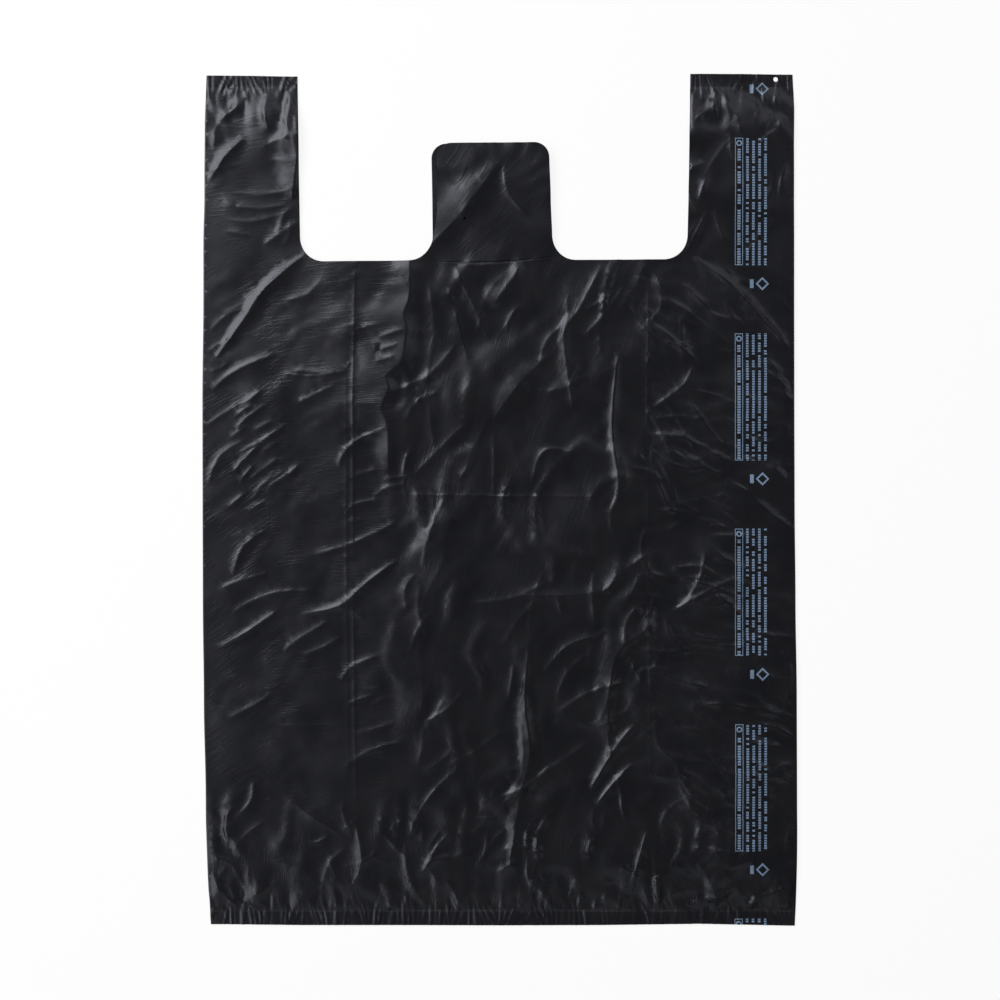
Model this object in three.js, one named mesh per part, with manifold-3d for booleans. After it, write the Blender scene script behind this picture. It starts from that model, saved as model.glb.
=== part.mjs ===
// Plastic carrier bag, lying flat on its back as it comes off the pack.
// One length of blown film tube: front wall, back wall, and a gusset folded in at each side.
// Both ends are heat sealed, and one die cut takes out the mouth, which leaves two loop handles
// and a hanging tab between them. Millimetres, +X right, +Y towards the handles, +Z up.
// The origin is under the middle of the bag, on the surface that it lies on.

import * as THREE from 'three';
import { mergeVertices } from 'three/addons/utils/BufferGeometryUtils.js';
import Module from 'manifold-3d';

const wasm = await Module();
wasm.setup();

// Film tube, folded flat
const bagWidth = 406;
const bagLength = 584;
const gussetDepth = 101.5;
const wall = 0.4;
const layerGap = 0.3;

// Heat seals: a fused strip across all four layers, with a loose skirt beyond it
const sealWidth = 1.5;
const bottomSkirt = 9.5;
const handleSkirt = 9;

// The gathers of each seal draw the side folds in
const drawInLength = 75;
const bottomDrawInLeft = 5;
const bottomDrawInRight = 1.5;
const topDrawIn = 1.5;

// Mouth die cut, which sits a little off the middle of the bag and a little turned
const mouthWidth = 268.5;
const mouthOffset = -4.2;
const mouthDepth = 127.6;
const mouthCorner = 17;
const dieTurn = THREE.MathUtils.degToRad(0.35);

// Hanging tab between the two hand openings, and the slit that frees its front layer
const tabWidth = 81;
const tabOffset = -2.1;
const tabHeight = 80.7;
const tabCorner = 10.3;
const slitWidth = 0.8;
const slitSag = 3.5;
const slitRise = 4;
const slitBridgeLeft = 13;
const slitBridgeRight = 7;

// Pin holes, where the pack of bags is pinned together
const handlePin = { radius: 1.65, fromSide: 12.5, fromTop: 3.3 };
const tabPin = { radius: 0.9, fromSide: 20, fromTop: 52 };

// Gathers beside the seals, and the lines that the gusset folds press into the front wall
const gatherPitch = 8;
const skirtGather = 0.9;
const insideGather = 1.5;
const gatherReach = 7;
const sideFlat = 3;
const gussetLineHeight = 0.4;
const gussetLineReach = 2.5;

// Unevenness of the gathers: the least share of their full height, and two wavelengths of it
const leastGather = 0.3;
const gatherWaves = [48, 203];

// A crease fades over this share of its length towards each end, down to this share of its height
const fadeShare = 0.3;
const endHeight = 0.35;

// The steep side of a crease is the one that faces this way
const steepTowards = [-0.6, 1];

// How closely the front wall is faceted
const foldFacets = 2;
const edgeStep = 22;
const creaseStep = 12;
const openStep = 36;
const openStagger = 0.4;
const leastSpacing = 3;

// Creases of the front wall, marked on a film of this size, on which they keep their share
const markedWidth = 406;
const markedLength = 584;

// Each crease is its height, its reach on the steep side, which is the upper left one, its reach
// on the other side, and its points from the bag's centre
const handleCreases = [
  [2.5, 9, 13, [[-167, 281], [-178, 252], [-197, 224]]],
  [2.0, 6, 14, [[-159, 281], [-161, 269], [-159, 254]]],
  [2.0, 12, 17, [[-148, 276], [-146, 240], [-148, 213]]],
  [1.6, 6, 14, [[-140, 191], [-163, 175]]],
  [2.2, 7, 17, [[152, 280], [146, 270], [133, 260]]],
  [2.0, 6, 14, [[167, 280], [164, 251]]],
  [1.8, 6, 14, [[189, 280], [191, 266], [194, 254]]],
];
const leftCreases = [
  [3.5, 8, 11, [[-136, 167], [-163, 144], [-177, 123], [-194, 99]]],
  [2.5, 6, 14, [[-150, 101], [-167, 95], [-183, 87], [-197, 75]]],
  [2.0, 6, 14, [[-100, 97], [-110, 88], [-143, 89]]],
  [1.6, 5, 12, [[-112, 79], [-137, 67]]],
  [2.2, 6, 14, [[-146, 51], [-163, 40], [-178, 33]]],
  [2.0, 6, 14, [[-175, 41], [-191, 30], [-200, 10]]],
  [1.6, 5, 12, [[-151, 29], [-170, 14]]],
  [2.4, 6, 14, [[-76, 50], [-98, 40], [-107, 31], [-110, 22]]],
  [2.0, 5, 12, [[-81, 0], [-98, -3], [-106, -10]]],
  [2.6, 6, 14, [[-69, -14], [-81, -21], [-106, -32], [-129, -38]]],
  [2.2, 6, 14, [[-160, -21], [-175, -32], [-183, -52]]],
  [2.8, 7, 17, [[-69, -41], [-88, -55], [-110, -73], [-136, -79]]],
  [1.6, 5, 12, [[-158, -50], [-191, -60]]],
  [2.0, 6, 14, [[-124, -63], [-148, -63], [-168, -69], [-183, -78]]],
  [2.6, 6, 14, [[-153, -77], [-173, -91], [-193, -102]]],
  [1.8, 5, 12, [[-117, -83], [-141, -98], [-148, -105]]],
  [2.4, 6, 14, [[-84, -107], [-102, -115], [-110, -125]]],
  [1.6, 5, 12, [[-157, -134], [-187, -151]]],
  [1.8, 5, 12, [[-69, -166], [-89, -172], [-103, -180]]],
];
const middleCreases = [
  [3.0, 11, 15, [[-64, 160], [-67, 117], [-74, 86], [-80, 65], [-74, 47]]],
  [2.2, 11, 15, [[-49, 148], [-45, 117], [-49, 79], [-43, 31]]],
  [2.2, 8, 11, [[-36, 147], [-29, 123], [-21, 95]]],
  [3.0, 13, 18, [[0, 68], [-21, 27], [-30, -4], [-38, -41], [-51, -69], [-55, -110], [-48, -165]]],
  [3.0, 7, 17, [[70, 162], [55, 132], [45, 118], [45, 103], [49, 77], [52, 60]]],
  [2.0, 8, 11, [[32, 97], [14, 77], [-3, 56]]],
  [3.2, 6, 14, [[82, 103], [79, 71], [78, 44], [82, 10], [77, -8], [77, -22]]],
  [2.0, 6, 14, [[100, 162], [110, 149], [111, 132], [100, 119]]],
  [2.4, 9, 13, [[104, -36], [82, -51], [69, -63], [41, -66], [14, -66]]],
  [2.8, 10, 14, [[19, -105], [17, -137], [19, -173], [12, -206], [5, -251]]],
  [3.5, 6, 14, [[91, -156], [78, -171], [61, -198]]],
  [2.6, 6, 14, [[90, -181], [65, -210], [49, -227]]],
  [2.4, 8, 11, [[106, -72], [100, -91], [77, -107], [73, -148], [73, -173]]],
  [1.8, 6, 14, [[62, -165], [22, -194], [8, -205]]],
  [2.4, 14, 20, [[-10, 225], [-26, 200], [-43, 182]]],
];
const rightCreases = [
  [3.2, 9, 13, [[133, 166], [159, 147], [178, 127], [199, 105]]],
  [1.8, 7, 17, [[115, 140], [135, 125], [165, 101]]],
  [2.2, 6, 14, [[134, 93], [127, 79], [106, 63]]],
  [1.4, 5, 12, [[103, 55], [120, 57], [140, 57]]],
  [2.4, 7, 17, [[117, 40], [135, 27], [168, 7], [196, -15]]],
  [1.8, 7, 17, [[158, 4], [125, -3], [104, -15]]],
  [2.6, 5, 12, [[141, -36], [138, -52], [128, -70], [118, -76]]],
  [1.4, 6, 14, [[136, -25], [160, -43]]],
  [1.6, 6, 14, [[118, -94], [161, -96]]],
  [2.0, 7, 17, [[192, -96], [199, -122], [194, -146]]],
  [2.0, 6, 14, [[106, -143], [108, -168], [125, -181], [147, -191]]],
  [1.8, 6, 14, [[126, -179], [141, -181], [154, -205], [163, -210]]],
  [1.6, 6, 14, [[126, -217], [144, -223], [163, -229]]],
];
const bottomCreases = [
  [2.4, 6, 14, [[-200, -256], [-192, -272], [-182, -280]]],
  [2.0, 6, 14, [[-199, -244], [-185, -251], [-178, -267]]],
  [2.0, 6, 14, [[-154, -262], [-174, -274], [-158, -281]]],
  [1.8, 5, 12, [[-170, -193], [-172, -207], [-184, -221]]],
  [1.8, 6, 14, [[-147, -205], [-124, -221], [-111, -229]]],
  [2.8, 7, 17, [[-100, -221], [-96, -249], [-102, -265]]],
  [2.0, 6, 14, [[-119, -245], [-108, -270]]],
  [2.4, 7, 17, [[-67, -238], [-63, -261], [-51, -280]]],
  [2.2, 5, 12, [[-33, -227], [-44, -238], [-54, -256]]],
  [2.4, 6, 14, [[-37, -261], [-27, -281]]],
  [2.8, 6, 14, [[100, -229], [93, -251], [86, -279]]],
  [2.4, 6, 14, [[160, -265], [149, -274], [126, -280]]],
  [2.0, 6, 14, [[192, -269], [176, -275], [168, -280]]],
];

// Places and levels that follow from the sizes above
const half = bagWidth / 2;
const bottom = -bagLength / 2;
const top = bagLength / 2;
const bottomSeal = bottom + bottomSkirt;
const handleSeal = top - handleSkirt;
const pitch = wall + layerGap;
const frontLevel = 4 * wall + 3 * layerGap;
const foldRadius = wall + layerGap / 2;
const mouthFloor = top - mouthDepth;
const clearOfStack = 30;

// Half width of the flat bag at y, on the left (-1) or right (1) side
function sideFold(side, y) {
  const nearBottom = Math.max(0, 1 - (y - bottom) / drawInLength);
  const nearTop = Math.max(0, 1 - (top - y) / drawInLength);
  const bottomDrawIn = side < 0 ? bottomDrawInLeft : bottomDrawInRight;
  return half - bottomDrawIn * nearBottom ** 2 - topDrawIn * nearTop ** 2;
}

// Distance from (x, y) to a line of points, the share of the line passed by then, and the side
// of the line that (x, y) is on: 1 is left of its direction, -1 right
function nearestOnLine(points, x, y) {
  let best = { distance: Infinity, along: 0, side: 1 };
  for (let i = 0; i + 1 < points.length; i += 1) {
    const [ax, ay] = points[i];
    const [dx, dy] = [points[i + 1][0] - ax, points[i + 1][1] - ay];
    const share = THREE.MathUtils.clamp(((x - ax) * dx + (y - ay) * dy) / (dx * dx + dy * dy), 0, 1);
    const distance = Math.hypot(x - ax - share * dx, y - ay - share * dy);
    if (distance < best.distance) {
      const side = dx * (y - ay) < dy * (x - ax) ? -1 : 1;
      best = { distance, along: (i + share) / (points.length - 1), side };
    }
  }
  return best;
}

const creases = [...handleCreases, ...leftCreases, ...middleCreases, ...rightCreases, ...bottomCreases]
  .map(([height, steepReach, otherReach, marks]) => {
    const points = marks.map(([x, y]) => [x * bagWidth / markedWidth, y * bagLength / markedLength]);
    const [dx, dy] = [points.at(-1)[0] - points[0][0], points.at(-1)[1] - points[0][1]];
    const steepOnLeft = steepTowards[1] * dx > steepTowards[0] * dy;
    const reachOn = (side) => ((side > 0) === steepOnLeft ? steepReach : otherReach);
    return { height, reachOn, points };
  });

// Height of the gathers: pleats across the skirt and just inside each seal, none on the seal
function gathers(x, y) {
  const pleat = Math.abs(((x / gatherPitch) % 1 + 1) % 1 - 0.5) * 2;
  const waves = gatherWaves.map((length) => Math.sin(2 * Math.PI * x / length));
  const unevenness = THREE.MathUtils.lerp(leastGather, 1, (1 + waves[0] * waves[1]) / 2);
  const heightAt = (outward, skirt) => {
    if (outward > sealWidth) {
      return skirtGather * Math.min(1, (outward - sealWidth) / (skirt - sealWidth));
    }
    const inward = -outward - sealWidth;
    return inward < 0 ? 0 : insideGather * Math.max(0, 1 - Math.abs(inward - gatherReach) / gatherReach);
  };
  const atBottom = heightAt(bottomSeal - y, bottomSkirt);
  const atTop = heightAt(y - handleSeal, handleSkirt);
  return pleat * unevenness * Math.max(atBottom, atTop);
}

// Height of the front wall's relief above the flat film
function relief(x, y) {
  const sealDistance = Math.min(y - bottomSeal, handleSeal - y);
  const sealFade = THREE.MathUtils.clamp((sealDistance - sealWidth) / gatherReach, 0, 1);
  const sideFade = THREE.MathUtils.clamp((half - Math.abs(x)) / sideFlat, 0, 1);
  const gussetLine = Math.abs(Math.abs(x) - half + gussetDepth);
  let height = gussetLineHeight * Math.max(0, 1 - gussetLine / gussetLineReach);
  for (const crease of creases) {
    const { distance, along, side } = nearestOnLine(crease.points, x, y);
    const fade = Math.min(1, Math.min(along, 1 - along) / fadeShare);
    const taper = THREE.MathUtils.lerp(endHeight, 1, fade);
    height = Math.max(height, crease.height * taper * (1 - distance / crease.reachOn(side)));
  }
  return sideFade * Math.max(height * sealFade, gathers(x, y));
}

// Rows at which the section is taken: the ends, both edges of each seal, and steps between
function sectionRows() {
  const marks = [bottom, bottomSeal - sealWidth, bottomSeal + sealWidth,
    handleSeal - sealWidth, handleSeal + sealWidth, top];
  const rows = [];
  for (let i = 0; i + 1 < marks.length; i += 1) {
    const steps = Math.max(1, Math.round((marks[i + 1] - marks[i]) / edgeStep));
    for (let step = 0; step < steps; step += 1) {
      rows.push(marks[i] + (marks[i + 1] - marks[i]) * step / steps);
    }
  }
  return [...rows, top];
}

// Whether a place across the bag is on a handle, and not over the mouth
function onHandle(x) {
  return Math.abs(x - mouthOffset) > mouthWidth / 2 - gatherPitch;
}

// Places across the bag of the pleats' ridges and valleys, or of every second one
function pleatPlaces(everySecond) {
  const step = gatherPitch / (everySecond ? 1 : 2);
  const count = Math.floor((half - leastSpacing / 2) / step);
  return Array.from({ length: 2 * count + 1 }, (_, i) => (i - count) * step);
}

// Points along both open ends, on the sides at each row, and at the corners. The corners come
// first, so that no later point lies outside those before it.
function rimPoints(rows) {
  const corners = [[-half, bottom], [half, bottom], [-half, top], [half, top]];
  const sides = rows.slice(1, -1).flatMap((y) => [[-half, y], [half, y]]);
  const bottomEnd = pleatPlaces(false).map((x) => [x, bottom]);
  const topEnd = pleatPlaces(false).filter(onHandle).map((x) => [x, top]);
  return [...corners, ...sides, ...bottomEnd, ...topEnd];
}

// Points on both edges of each seal, and on the ridge of the gathers inside it
function gatherPoints() {
  const rowOf = (seal, offset, everySecond) =>
    pleatPlaces(everySecond)
      .filter((x) => seal === bottomSeal || onHandle(x))
      .map((x) => [x, seal + offset]);
  return [[bottomSeal, 1], [handleSeal, -1]].flatMap(([seal, inward]) => [
    ...rowOf(seal, -inward * sealWidth, true),
    ...rowOf(seal, inward * sealWidth, true),
    ...rowOf(seal, inward * (sealWidth + gatherReach), false),
  ]);
}

// Points along the ridge and along both feet of each crease
function creasePoints() {
  return creases.flatMap((crease) => {
    const ridge = new THREE.CatmullRomCurve3(crease.points.map(([x, y]) => new THREE.Vector3(x, y, 0)));
    const steps = Math.max(2, Math.round(ridge.getLength() / creaseStep));
    return [0, -1, 1].flatMap((side) => {
      const reach = side * crease.reachOn(side);
      return Array.from({ length: steps + 1 }, (_, i) => {
        const centre = ridge.getPointAt(i / steps);
        const along = ridge.getTangentAt(i / steps);
        return [centre.x - along.y * reach, centre.y + along.x * reach];
      });
    });
  });
}

// Points on and beside the line that each gusset's inner fold presses into the front wall
function gussetLinePoints() {
  const points = [];
  for (const side of [-1, 1]) {
    for (const offset of [0, -gussetLineReach, gussetLineReach]) {
      for (let y = bottomSeal + openStep / 2; y < handleSeal; y += openStep / 2) {
        points.push([side * (half - gussetDepth) + offset, y]);
      }
    }
  }
  return points;
}

// A loose grid of points that fills what is left open
function openPoints() {
  const across = Math.round(bagWidth / openStep);
  const down = Math.round(bagLength / openStep);
  const points = [];
  for (let i = 1; i < across; i += 1) {
    for (let j = 1; j < down; j += 1) {
      const stagger = (j % 2) * openStagger;
      points.push([-half + (i + stagger) * bagWidth / across, bottom + j * bagLength / down]);
    }
  }
  return points;
}

// Corners of the front wall's facets, on the film as it would be without its drawn-in sides.
// A point that is too near an earlier one is left out.
function frontWallPoints(rows) {
  const points = rimPoints(rows);
  const wanted = [
    [gatherPoints(), leastSpacing / 2],
    [creasePoints(), leastSpacing],
    [gussetLinePoints(), leastSpacing / 2],
    [openPoints(), openStep / 3],
  ];
  for (const [candidates, spacing] of wanted) {
    for (const [x, y] of candidates) {
      const inside = Math.abs(x) < half - leastSpacing / 2 && y > bottom && y < top;
      if (inside && points.every(([px, py]) => Math.hypot(px - x, py - y) > spacing)) {
        points.push([x, y]);
      }
    }
  }
  return points;
}

// A triangle by its corners' numbers, with the circle through them. It is worked out from the
// first corner, so that one is on the film, near the others.
function withCircle(points, a, b, c) {
  const [ax, ay] = points[a];
  const [bx, by] = [points[b][0] - ax, points[b][1] - ay];
  const [cx, cy] = [points[c][0] - ax, points[c][1] - ay];
  const twiceArea = 2 * (bx * cy - by * cx);
  const ux = (cy * (bx * bx + by * by) - by * (cx * cx + cy * cy)) / twiceArea;
  const uy = (bx * (cx * cx + cy * cy) - cx * (bx * bx + by * by)) / twiceArea;
  return { corners: [a, b, c], x: ax + ux, y: ay + uy, radius: Math.hypot(ux, uy) };
}

// Delaunay triangles of the points, adding one point at a time to a triangle round them all,
// whose far corners are in line with no side of the film
function triangulate(points) {
  const far = 1e6;
  const count = points.length;
  const all = [...points, [-far, -far / 2], [far, -far / 3], [far / 4, far]];
  let triangles = [withCircle(all, count, count + 1, count + 2)];
  points.forEach(([x, y], number) => {
    const rim = new Map();
    const kept = [];
    for (const triangle of triangles) {
      if (Math.hypot(x - triangle.x, y - triangle.y) > triangle.radius) {
        kept.push(triangle);
        continue;
      }
      const [a, b, c] = triangle.corners;
      for (const [from, to] of [[a, b], [b, c], [c, a]]) {
        const key = `${Math.min(from, to)}-${Math.max(from, to)}`;
        if (!rim.delete(key)) {
          rim.set(key, [from, to]);
        }
      }
    }
    for (const [from, to] of rim.values()) {
      kept.push(withCircle(all, number, from, to));
    }
    triangles = kept;
  });
  return triangles.map((triangle) => triangle.corners).filter((corners) => Math.max(...corners) < count);
}

// Section of the side folds and the back wall at y, from the front wall's right edge round to
// its left edge. Each point has its place on the film's outer skin and on its inner skin.
function foldedSection(y) {
  const arc = (side, x, z, outer, inner, start) => {
    const turned = [];
    for (let i = 0; i <= foldFacets; i += 1) {
      const angle = start + Math.sign(inner - outer) * Math.PI * i / foldFacets;
      const place = (radius) => [side * (x + radius * Math.cos(angle)), z + radius * Math.sin(angle)];
      turned.push({ outer: place(outer), inner: place(inner) });
    }
    return turned;
  };
  const innerFold = layerGap / 2;
  const sideSection = (side) => {
    const edge = sideFold(side, y) - foldRadius;
    const middle = edge - gussetDepth + 2 * foldRadius;
    return [
      ...arc(side, edge, foldRadius + 2 * pitch, foldRadius, innerFold, Math.PI / 2),
      ...arc(side, middle, foldRadius + pitch, innerFold, foldRadius, Math.PI / 2),
      ...arc(side, edge, foldRadius, foldRadius, innerFold, Math.PI / 2),
    ];
  };
  return [...sideSection(1), ...sideSection(-1).reverse()];
}

// The whole film tube as one closed mesh: outer skin, inner skin, and a rim at each open end
function filmTube() {
  const rows = sectionRows();
  const flat = frontWallPoints(rows);
  const positions = [];
  const indices = [];
  const vertex = (x, y, z) => positions.push(x, y, z) / 3 - 1;
  const face = (corners, inward) => {
    const [a, b, c] = corners;
    indices.push(...(inward ? [c, b, a] : [a, b, c]));
  };

  const frontCorners = flat.map(([x, y]) => {
    const share = (x / half + 1) / 2;
    const [left, right] = [foldRadius - sideFold(-1, y), sideFold(1, y) - foldRadius];
    const place = THREE.MathUtils.lerp(left, right, share);
    const level = frontLevel + relief(x, y);
    return { x, y, outer: vertex(place, y, level), inner: vertex(place, y, level - wall) };
  });
  for (const corners of triangulate(flat)) {
    face(corners.map((number) => frontCorners[number].outer), false);
    face(corners.map((number) => frontCorners[number].inner), true);
  }

  const edgeCorner = (x, y) => frontCorners.find((corner) => corner.x === x && corner.y === y);
  const sections = rows.map((y) => {
    const folded = foldedSection(y).slice(1, -1).map((point) => ({
      outer: vertex(point.outer[0], y, point.outer[1]),
      inner: vertex(point.inner[0], y, point.inner[1]),
    }));
    return [edgeCorner(half, y), ...folded, edgeCorner(-half, y)];
  });
  for (let row = 0; row + 1 < rows.length; row += 1) {
    for (let i = 0; i + 1 < sections[row].length; i += 1) {
      const [a, b] = [sections[row][i], sections[row][i + 1]];
      const [c, d] = [sections[row + 1][i + 1], sections[row + 1][i]];
      for (const [skin, inward] of [['outer', false], ['inner', true]]) {
        face([a[skin], b[skin], c[skin]], inward);
        face([a[skin], c[skin], d[skin]], inward);
      }
    }
  }

  for (const [y, section, atTop] of [[bottom, sections[0], false], [top, sections.at(-1), true]]) {
    const front = frontCorners.filter((corner) => corner.y === y).sort((p, q) => p.x - q.x);
    const loop = [...front, ...section.slice(1, -1)];
    loop.forEach((from, i) => {
      const to = loop[(i + 1) % loop.length];
      face([from.outer, from.inner, to.inner], atTop);
      face([from.outer, to.inner, to.outer], atTop);
    });
  }

  const geometry = new THREE.BufferGeometry();
  geometry.setAttribute('position', new THREE.Float32BufferAttribute(positions, 3));
  geometry.setIndex(indices);
  return geometry;
}

// Fused strip across all layers, inside the skins
function sealBar(y) {
  const [left, right] = [foldRadius - sideFold(-1, y), sideFold(1, y) - foldRadius];
  const height = frontLevel - wall;
  const bar = new THREE.BoxGeometry(right - left, sealWidth, height);
  return bar.translate((left + right) / 2, y, frontLevel / 2);
}

// A cutter with the outline, from the given level up past the top of the bag
function cutThrough(outline, from) {
  const settings = { depth: clearOfStack, bevelEnabled: false, curveSegments: 6 };
  return new THREE.ExtrudeGeometry(outline, settings).translate(0, 0, from);
}

// Mouth: everything between the handles down to the two round-cornered hand openings,
// apart from the tab. Drawn about the middle of its floor.
function mouthOutline() {
  const side = mouthWidth / 2;
  const ceiling = mouthDepth + bottomSkirt + handleSkirt;
  const [tabLeft, tabRight] = [tabOffset - tabWidth / 2, tabOffset + tabWidth / 2];
  const outline = new THREE.Shape();
  outline.moveTo(-side, ceiling);
  outline.lineTo(-side, mouthCorner);
  outline.absarc(-side + mouthCorner, mouthCorner, mouthCorner, Math.PI, 1.5 * Math.PI, false);
  outline.absarc(tabLeft - mouthCorner, mouthCorner, mouthCorner, 1.5 * Math.PI, 2 * Math.PI, false);
  outline.absarc(tabLeft + tabCorner, tabHeight - tabCorner, tabCorner, Math.PI, Math.PI / 2, true);
  outline.absarc(tabRight - tabCorner, tabHeight - tabCorner, tabCorner, Math.PI / 2, 0, true);
  outline.absarc(tabRight + mouthCorner, mouthCorner, mouthCorner, Math.PI, 1.5 * Math.PI, false);
  outline.absarc(side - mouthCorner, mouthCorner, mouthCorner, 1.5 * Math.PI, 2 * Math.PI, false);
  outline.lineTo(side, ceiling);
  return outline;
}

// Slit across the foot of the tab, sagging between two bridges of film
function slitOutline() {
  const left = tabOffset - tabWidth / 2 - mouthCorner + slitBridgeLeft;
  const right = tabOffset + tabWidth / 2 + mouthCorner - slitBridgeRight;
  const middle = (left + right) / 2;
  const outline = new THREE.Shape();
  outline.moveTo(left, 0);
  outline.quadraticCurveTo(middle, -slitSag, right, slitRise);
  outline.lineTo(right, slitRise + slitWidth);
  outline.quadraticCurveTo(middle, slitWidth - slitSag, left, slitWidth);
  return outline;
}

function pinCut(pin, x, y) {
  const hole = new THREE.CylinderGeometry(pin.radius, pin.radius, clearOfStack, 12);
  return hole.rotateX(Math.PI / 2).translate(x, y, 0);
}

// A closed mesh as a solid that can be joined and cut
function solid(geometry) {
  const bare = geometry.clone();
  bare.deleteAttribute('normal');
  bare.deleteAttribute('uv');
  const merged = mergeVertices(bare, 1e-4);
  return new wasm.Manifold(new wasm.Mesh({
    numProp: 3,
    vertProperties: new Float32Array(merged.attributes.position.array),
    triVerts: new Uint32Array(merged.index.array),
  }));
}

function carrierBag() {
  const placed = (cutter) => cutter.rotateZ(dieTurn).translate(mouthOffset, mouthFloor, 0);
  const betweenWalls = frontLevel / 2;
  const cuts = [
    placed(cutThrough(mouthOutline(), -clearOfStack / 2)),
    placed(cutThrough(slitOutline(), betweenWalls)),
    placed(pinCut(tabPin, tabOffset - tabWidth / 2 + tabPin.fromSide, tabHeight - tabPin.fromTop)),
    pinCut(handlePin, half - handlePin.fromSide, top - handlePin.fromTop),
  ];
  let bag = solid(filmTube());
  for (const y of [bottomSeal, handleSeal]) {
    bag = bag.add(solid(sealBar(y)));
  }
  for (const cut of cuts) {
    bag = bag.subtract(solid(cut));
  }
  const mesh = bag.getMesh();
  const geometry = new THREE.BufferGeometry();
  geometry.setAttribute('position', new THREE.BufferAttribute(mesh.vertProperties, 3));
  geometry.setIndex(new THREE.BufferAttribute(mesh.triVerts, 1));
  geometry.computeVertexNormals();
  return geometry;
}

const film = new THREE.MeshStandardMaterial({ color: 0x1b1c1f, roughness: 0.35, metalness: 0 });
const bag = new THREE.Mesh(carrierBag(), film);
bag.name = 'carrier_bag';

const model = new THREE.Group();
model.add(bag);

export default model;
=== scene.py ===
"""Plastic carrier bag lying flat on its back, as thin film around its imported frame.

The film is one tube, folded flat with a gusset at each side, sealed at both ends and cut out at
the top into two handles and a hanging tab. Sizes are in millimetres from the middle of the bag,
but those of the gathers and of the studio, and all meshes and settings, are in metres."""

import math

import bpy
import numpy as np
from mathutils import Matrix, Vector, geometry


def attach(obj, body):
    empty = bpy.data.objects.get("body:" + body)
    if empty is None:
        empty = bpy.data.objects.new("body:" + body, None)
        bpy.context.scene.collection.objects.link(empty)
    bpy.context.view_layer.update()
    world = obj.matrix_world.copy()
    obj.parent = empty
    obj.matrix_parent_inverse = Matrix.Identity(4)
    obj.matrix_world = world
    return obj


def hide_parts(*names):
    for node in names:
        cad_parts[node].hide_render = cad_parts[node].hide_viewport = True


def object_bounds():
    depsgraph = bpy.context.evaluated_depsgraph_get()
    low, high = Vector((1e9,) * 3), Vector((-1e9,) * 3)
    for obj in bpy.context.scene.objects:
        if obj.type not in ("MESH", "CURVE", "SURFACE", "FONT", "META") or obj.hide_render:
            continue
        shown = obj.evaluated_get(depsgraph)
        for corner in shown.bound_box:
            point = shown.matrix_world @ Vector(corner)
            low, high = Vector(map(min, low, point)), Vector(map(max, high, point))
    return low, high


bl_info = {
    "name": "Plastic Carrier Bag",
    "version": (1, 0, 0),
    "blender": (4, 5, 0),
    "location": "3D View > Sidebar > Carrier Bag",
    "description": "Builds a flat plastic carrier bag and the studio that it lies in",
    "category": "Object",
}

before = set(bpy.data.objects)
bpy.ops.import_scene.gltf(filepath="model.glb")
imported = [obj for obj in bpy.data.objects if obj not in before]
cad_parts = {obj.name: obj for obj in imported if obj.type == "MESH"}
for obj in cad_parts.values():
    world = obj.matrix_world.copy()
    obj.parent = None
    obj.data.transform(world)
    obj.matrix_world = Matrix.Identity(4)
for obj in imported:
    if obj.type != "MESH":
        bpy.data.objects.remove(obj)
CAD_LOW, CAD_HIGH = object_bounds()
MM = 0.001

# Sizes of the bag, which are the frame's own. A pin hole has its radius and its distances from
# the side and the top, and the slit its least width and how much wider its middle is
HALF = (CAD_HIGH.x - CAD_LOW.x) / 2 / MM
TOP = (CAD_HIGH.y - CAD_LOW.y) / 2 / MM
GUSSET = 101.5
BOTTOM_SKIRT = 9.5
HANDLE_SKIRT = 9
MOUTH_WIDTH = 268.5
MOUTH_OFFSET = -4.2
MOUTH_DEPTH = 127.6
MOUTH_CORNER = 17
DIE_TURN = math.radians(0.35)
TAB_WIDTH = 81
TAB_OFFSET = -2.1
TAB_HEIGHT = 80.7
TAB_CORNER = 10.3
SLIT_SAG = 3.5
SLIT_RISE = 4
SLIT_BRIDGES = (13, 7)
SLIT_WIDTHS = (0.05, 0.45)
HANDLE_PIN = (1.65, 12.5, 3.3)
TAB_PIN = (0.9, 20, 52)
BOTTOM_SEAL = BOTTOM_SKIRT - TOP
HANDLE_SEAL = TOP - HANDLE_SKIRT
MOUTH_FLOOR = TOP - MOUTH_DEPTH

# The gathers draw the side folds in over this length, by so much at each end of each side
DRAW_IN = 75
DRAWN_IN = {(-1, -1): 5, (1, -1): 1.5, (-1, 1): 1.5, (1, 1): 1.5}

# Film and how its four layers are stacked
FILM = 0.12
PITCH = 0.7
PINCHED_PITCH = 0.16
PINCH_REACH = 34
FRONT_LAYER = 3
FRONT_TOP = FRONT_LAYER * PITCH + FILM
EDGE = HALF - (PITCH + FILM) / 2

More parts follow.
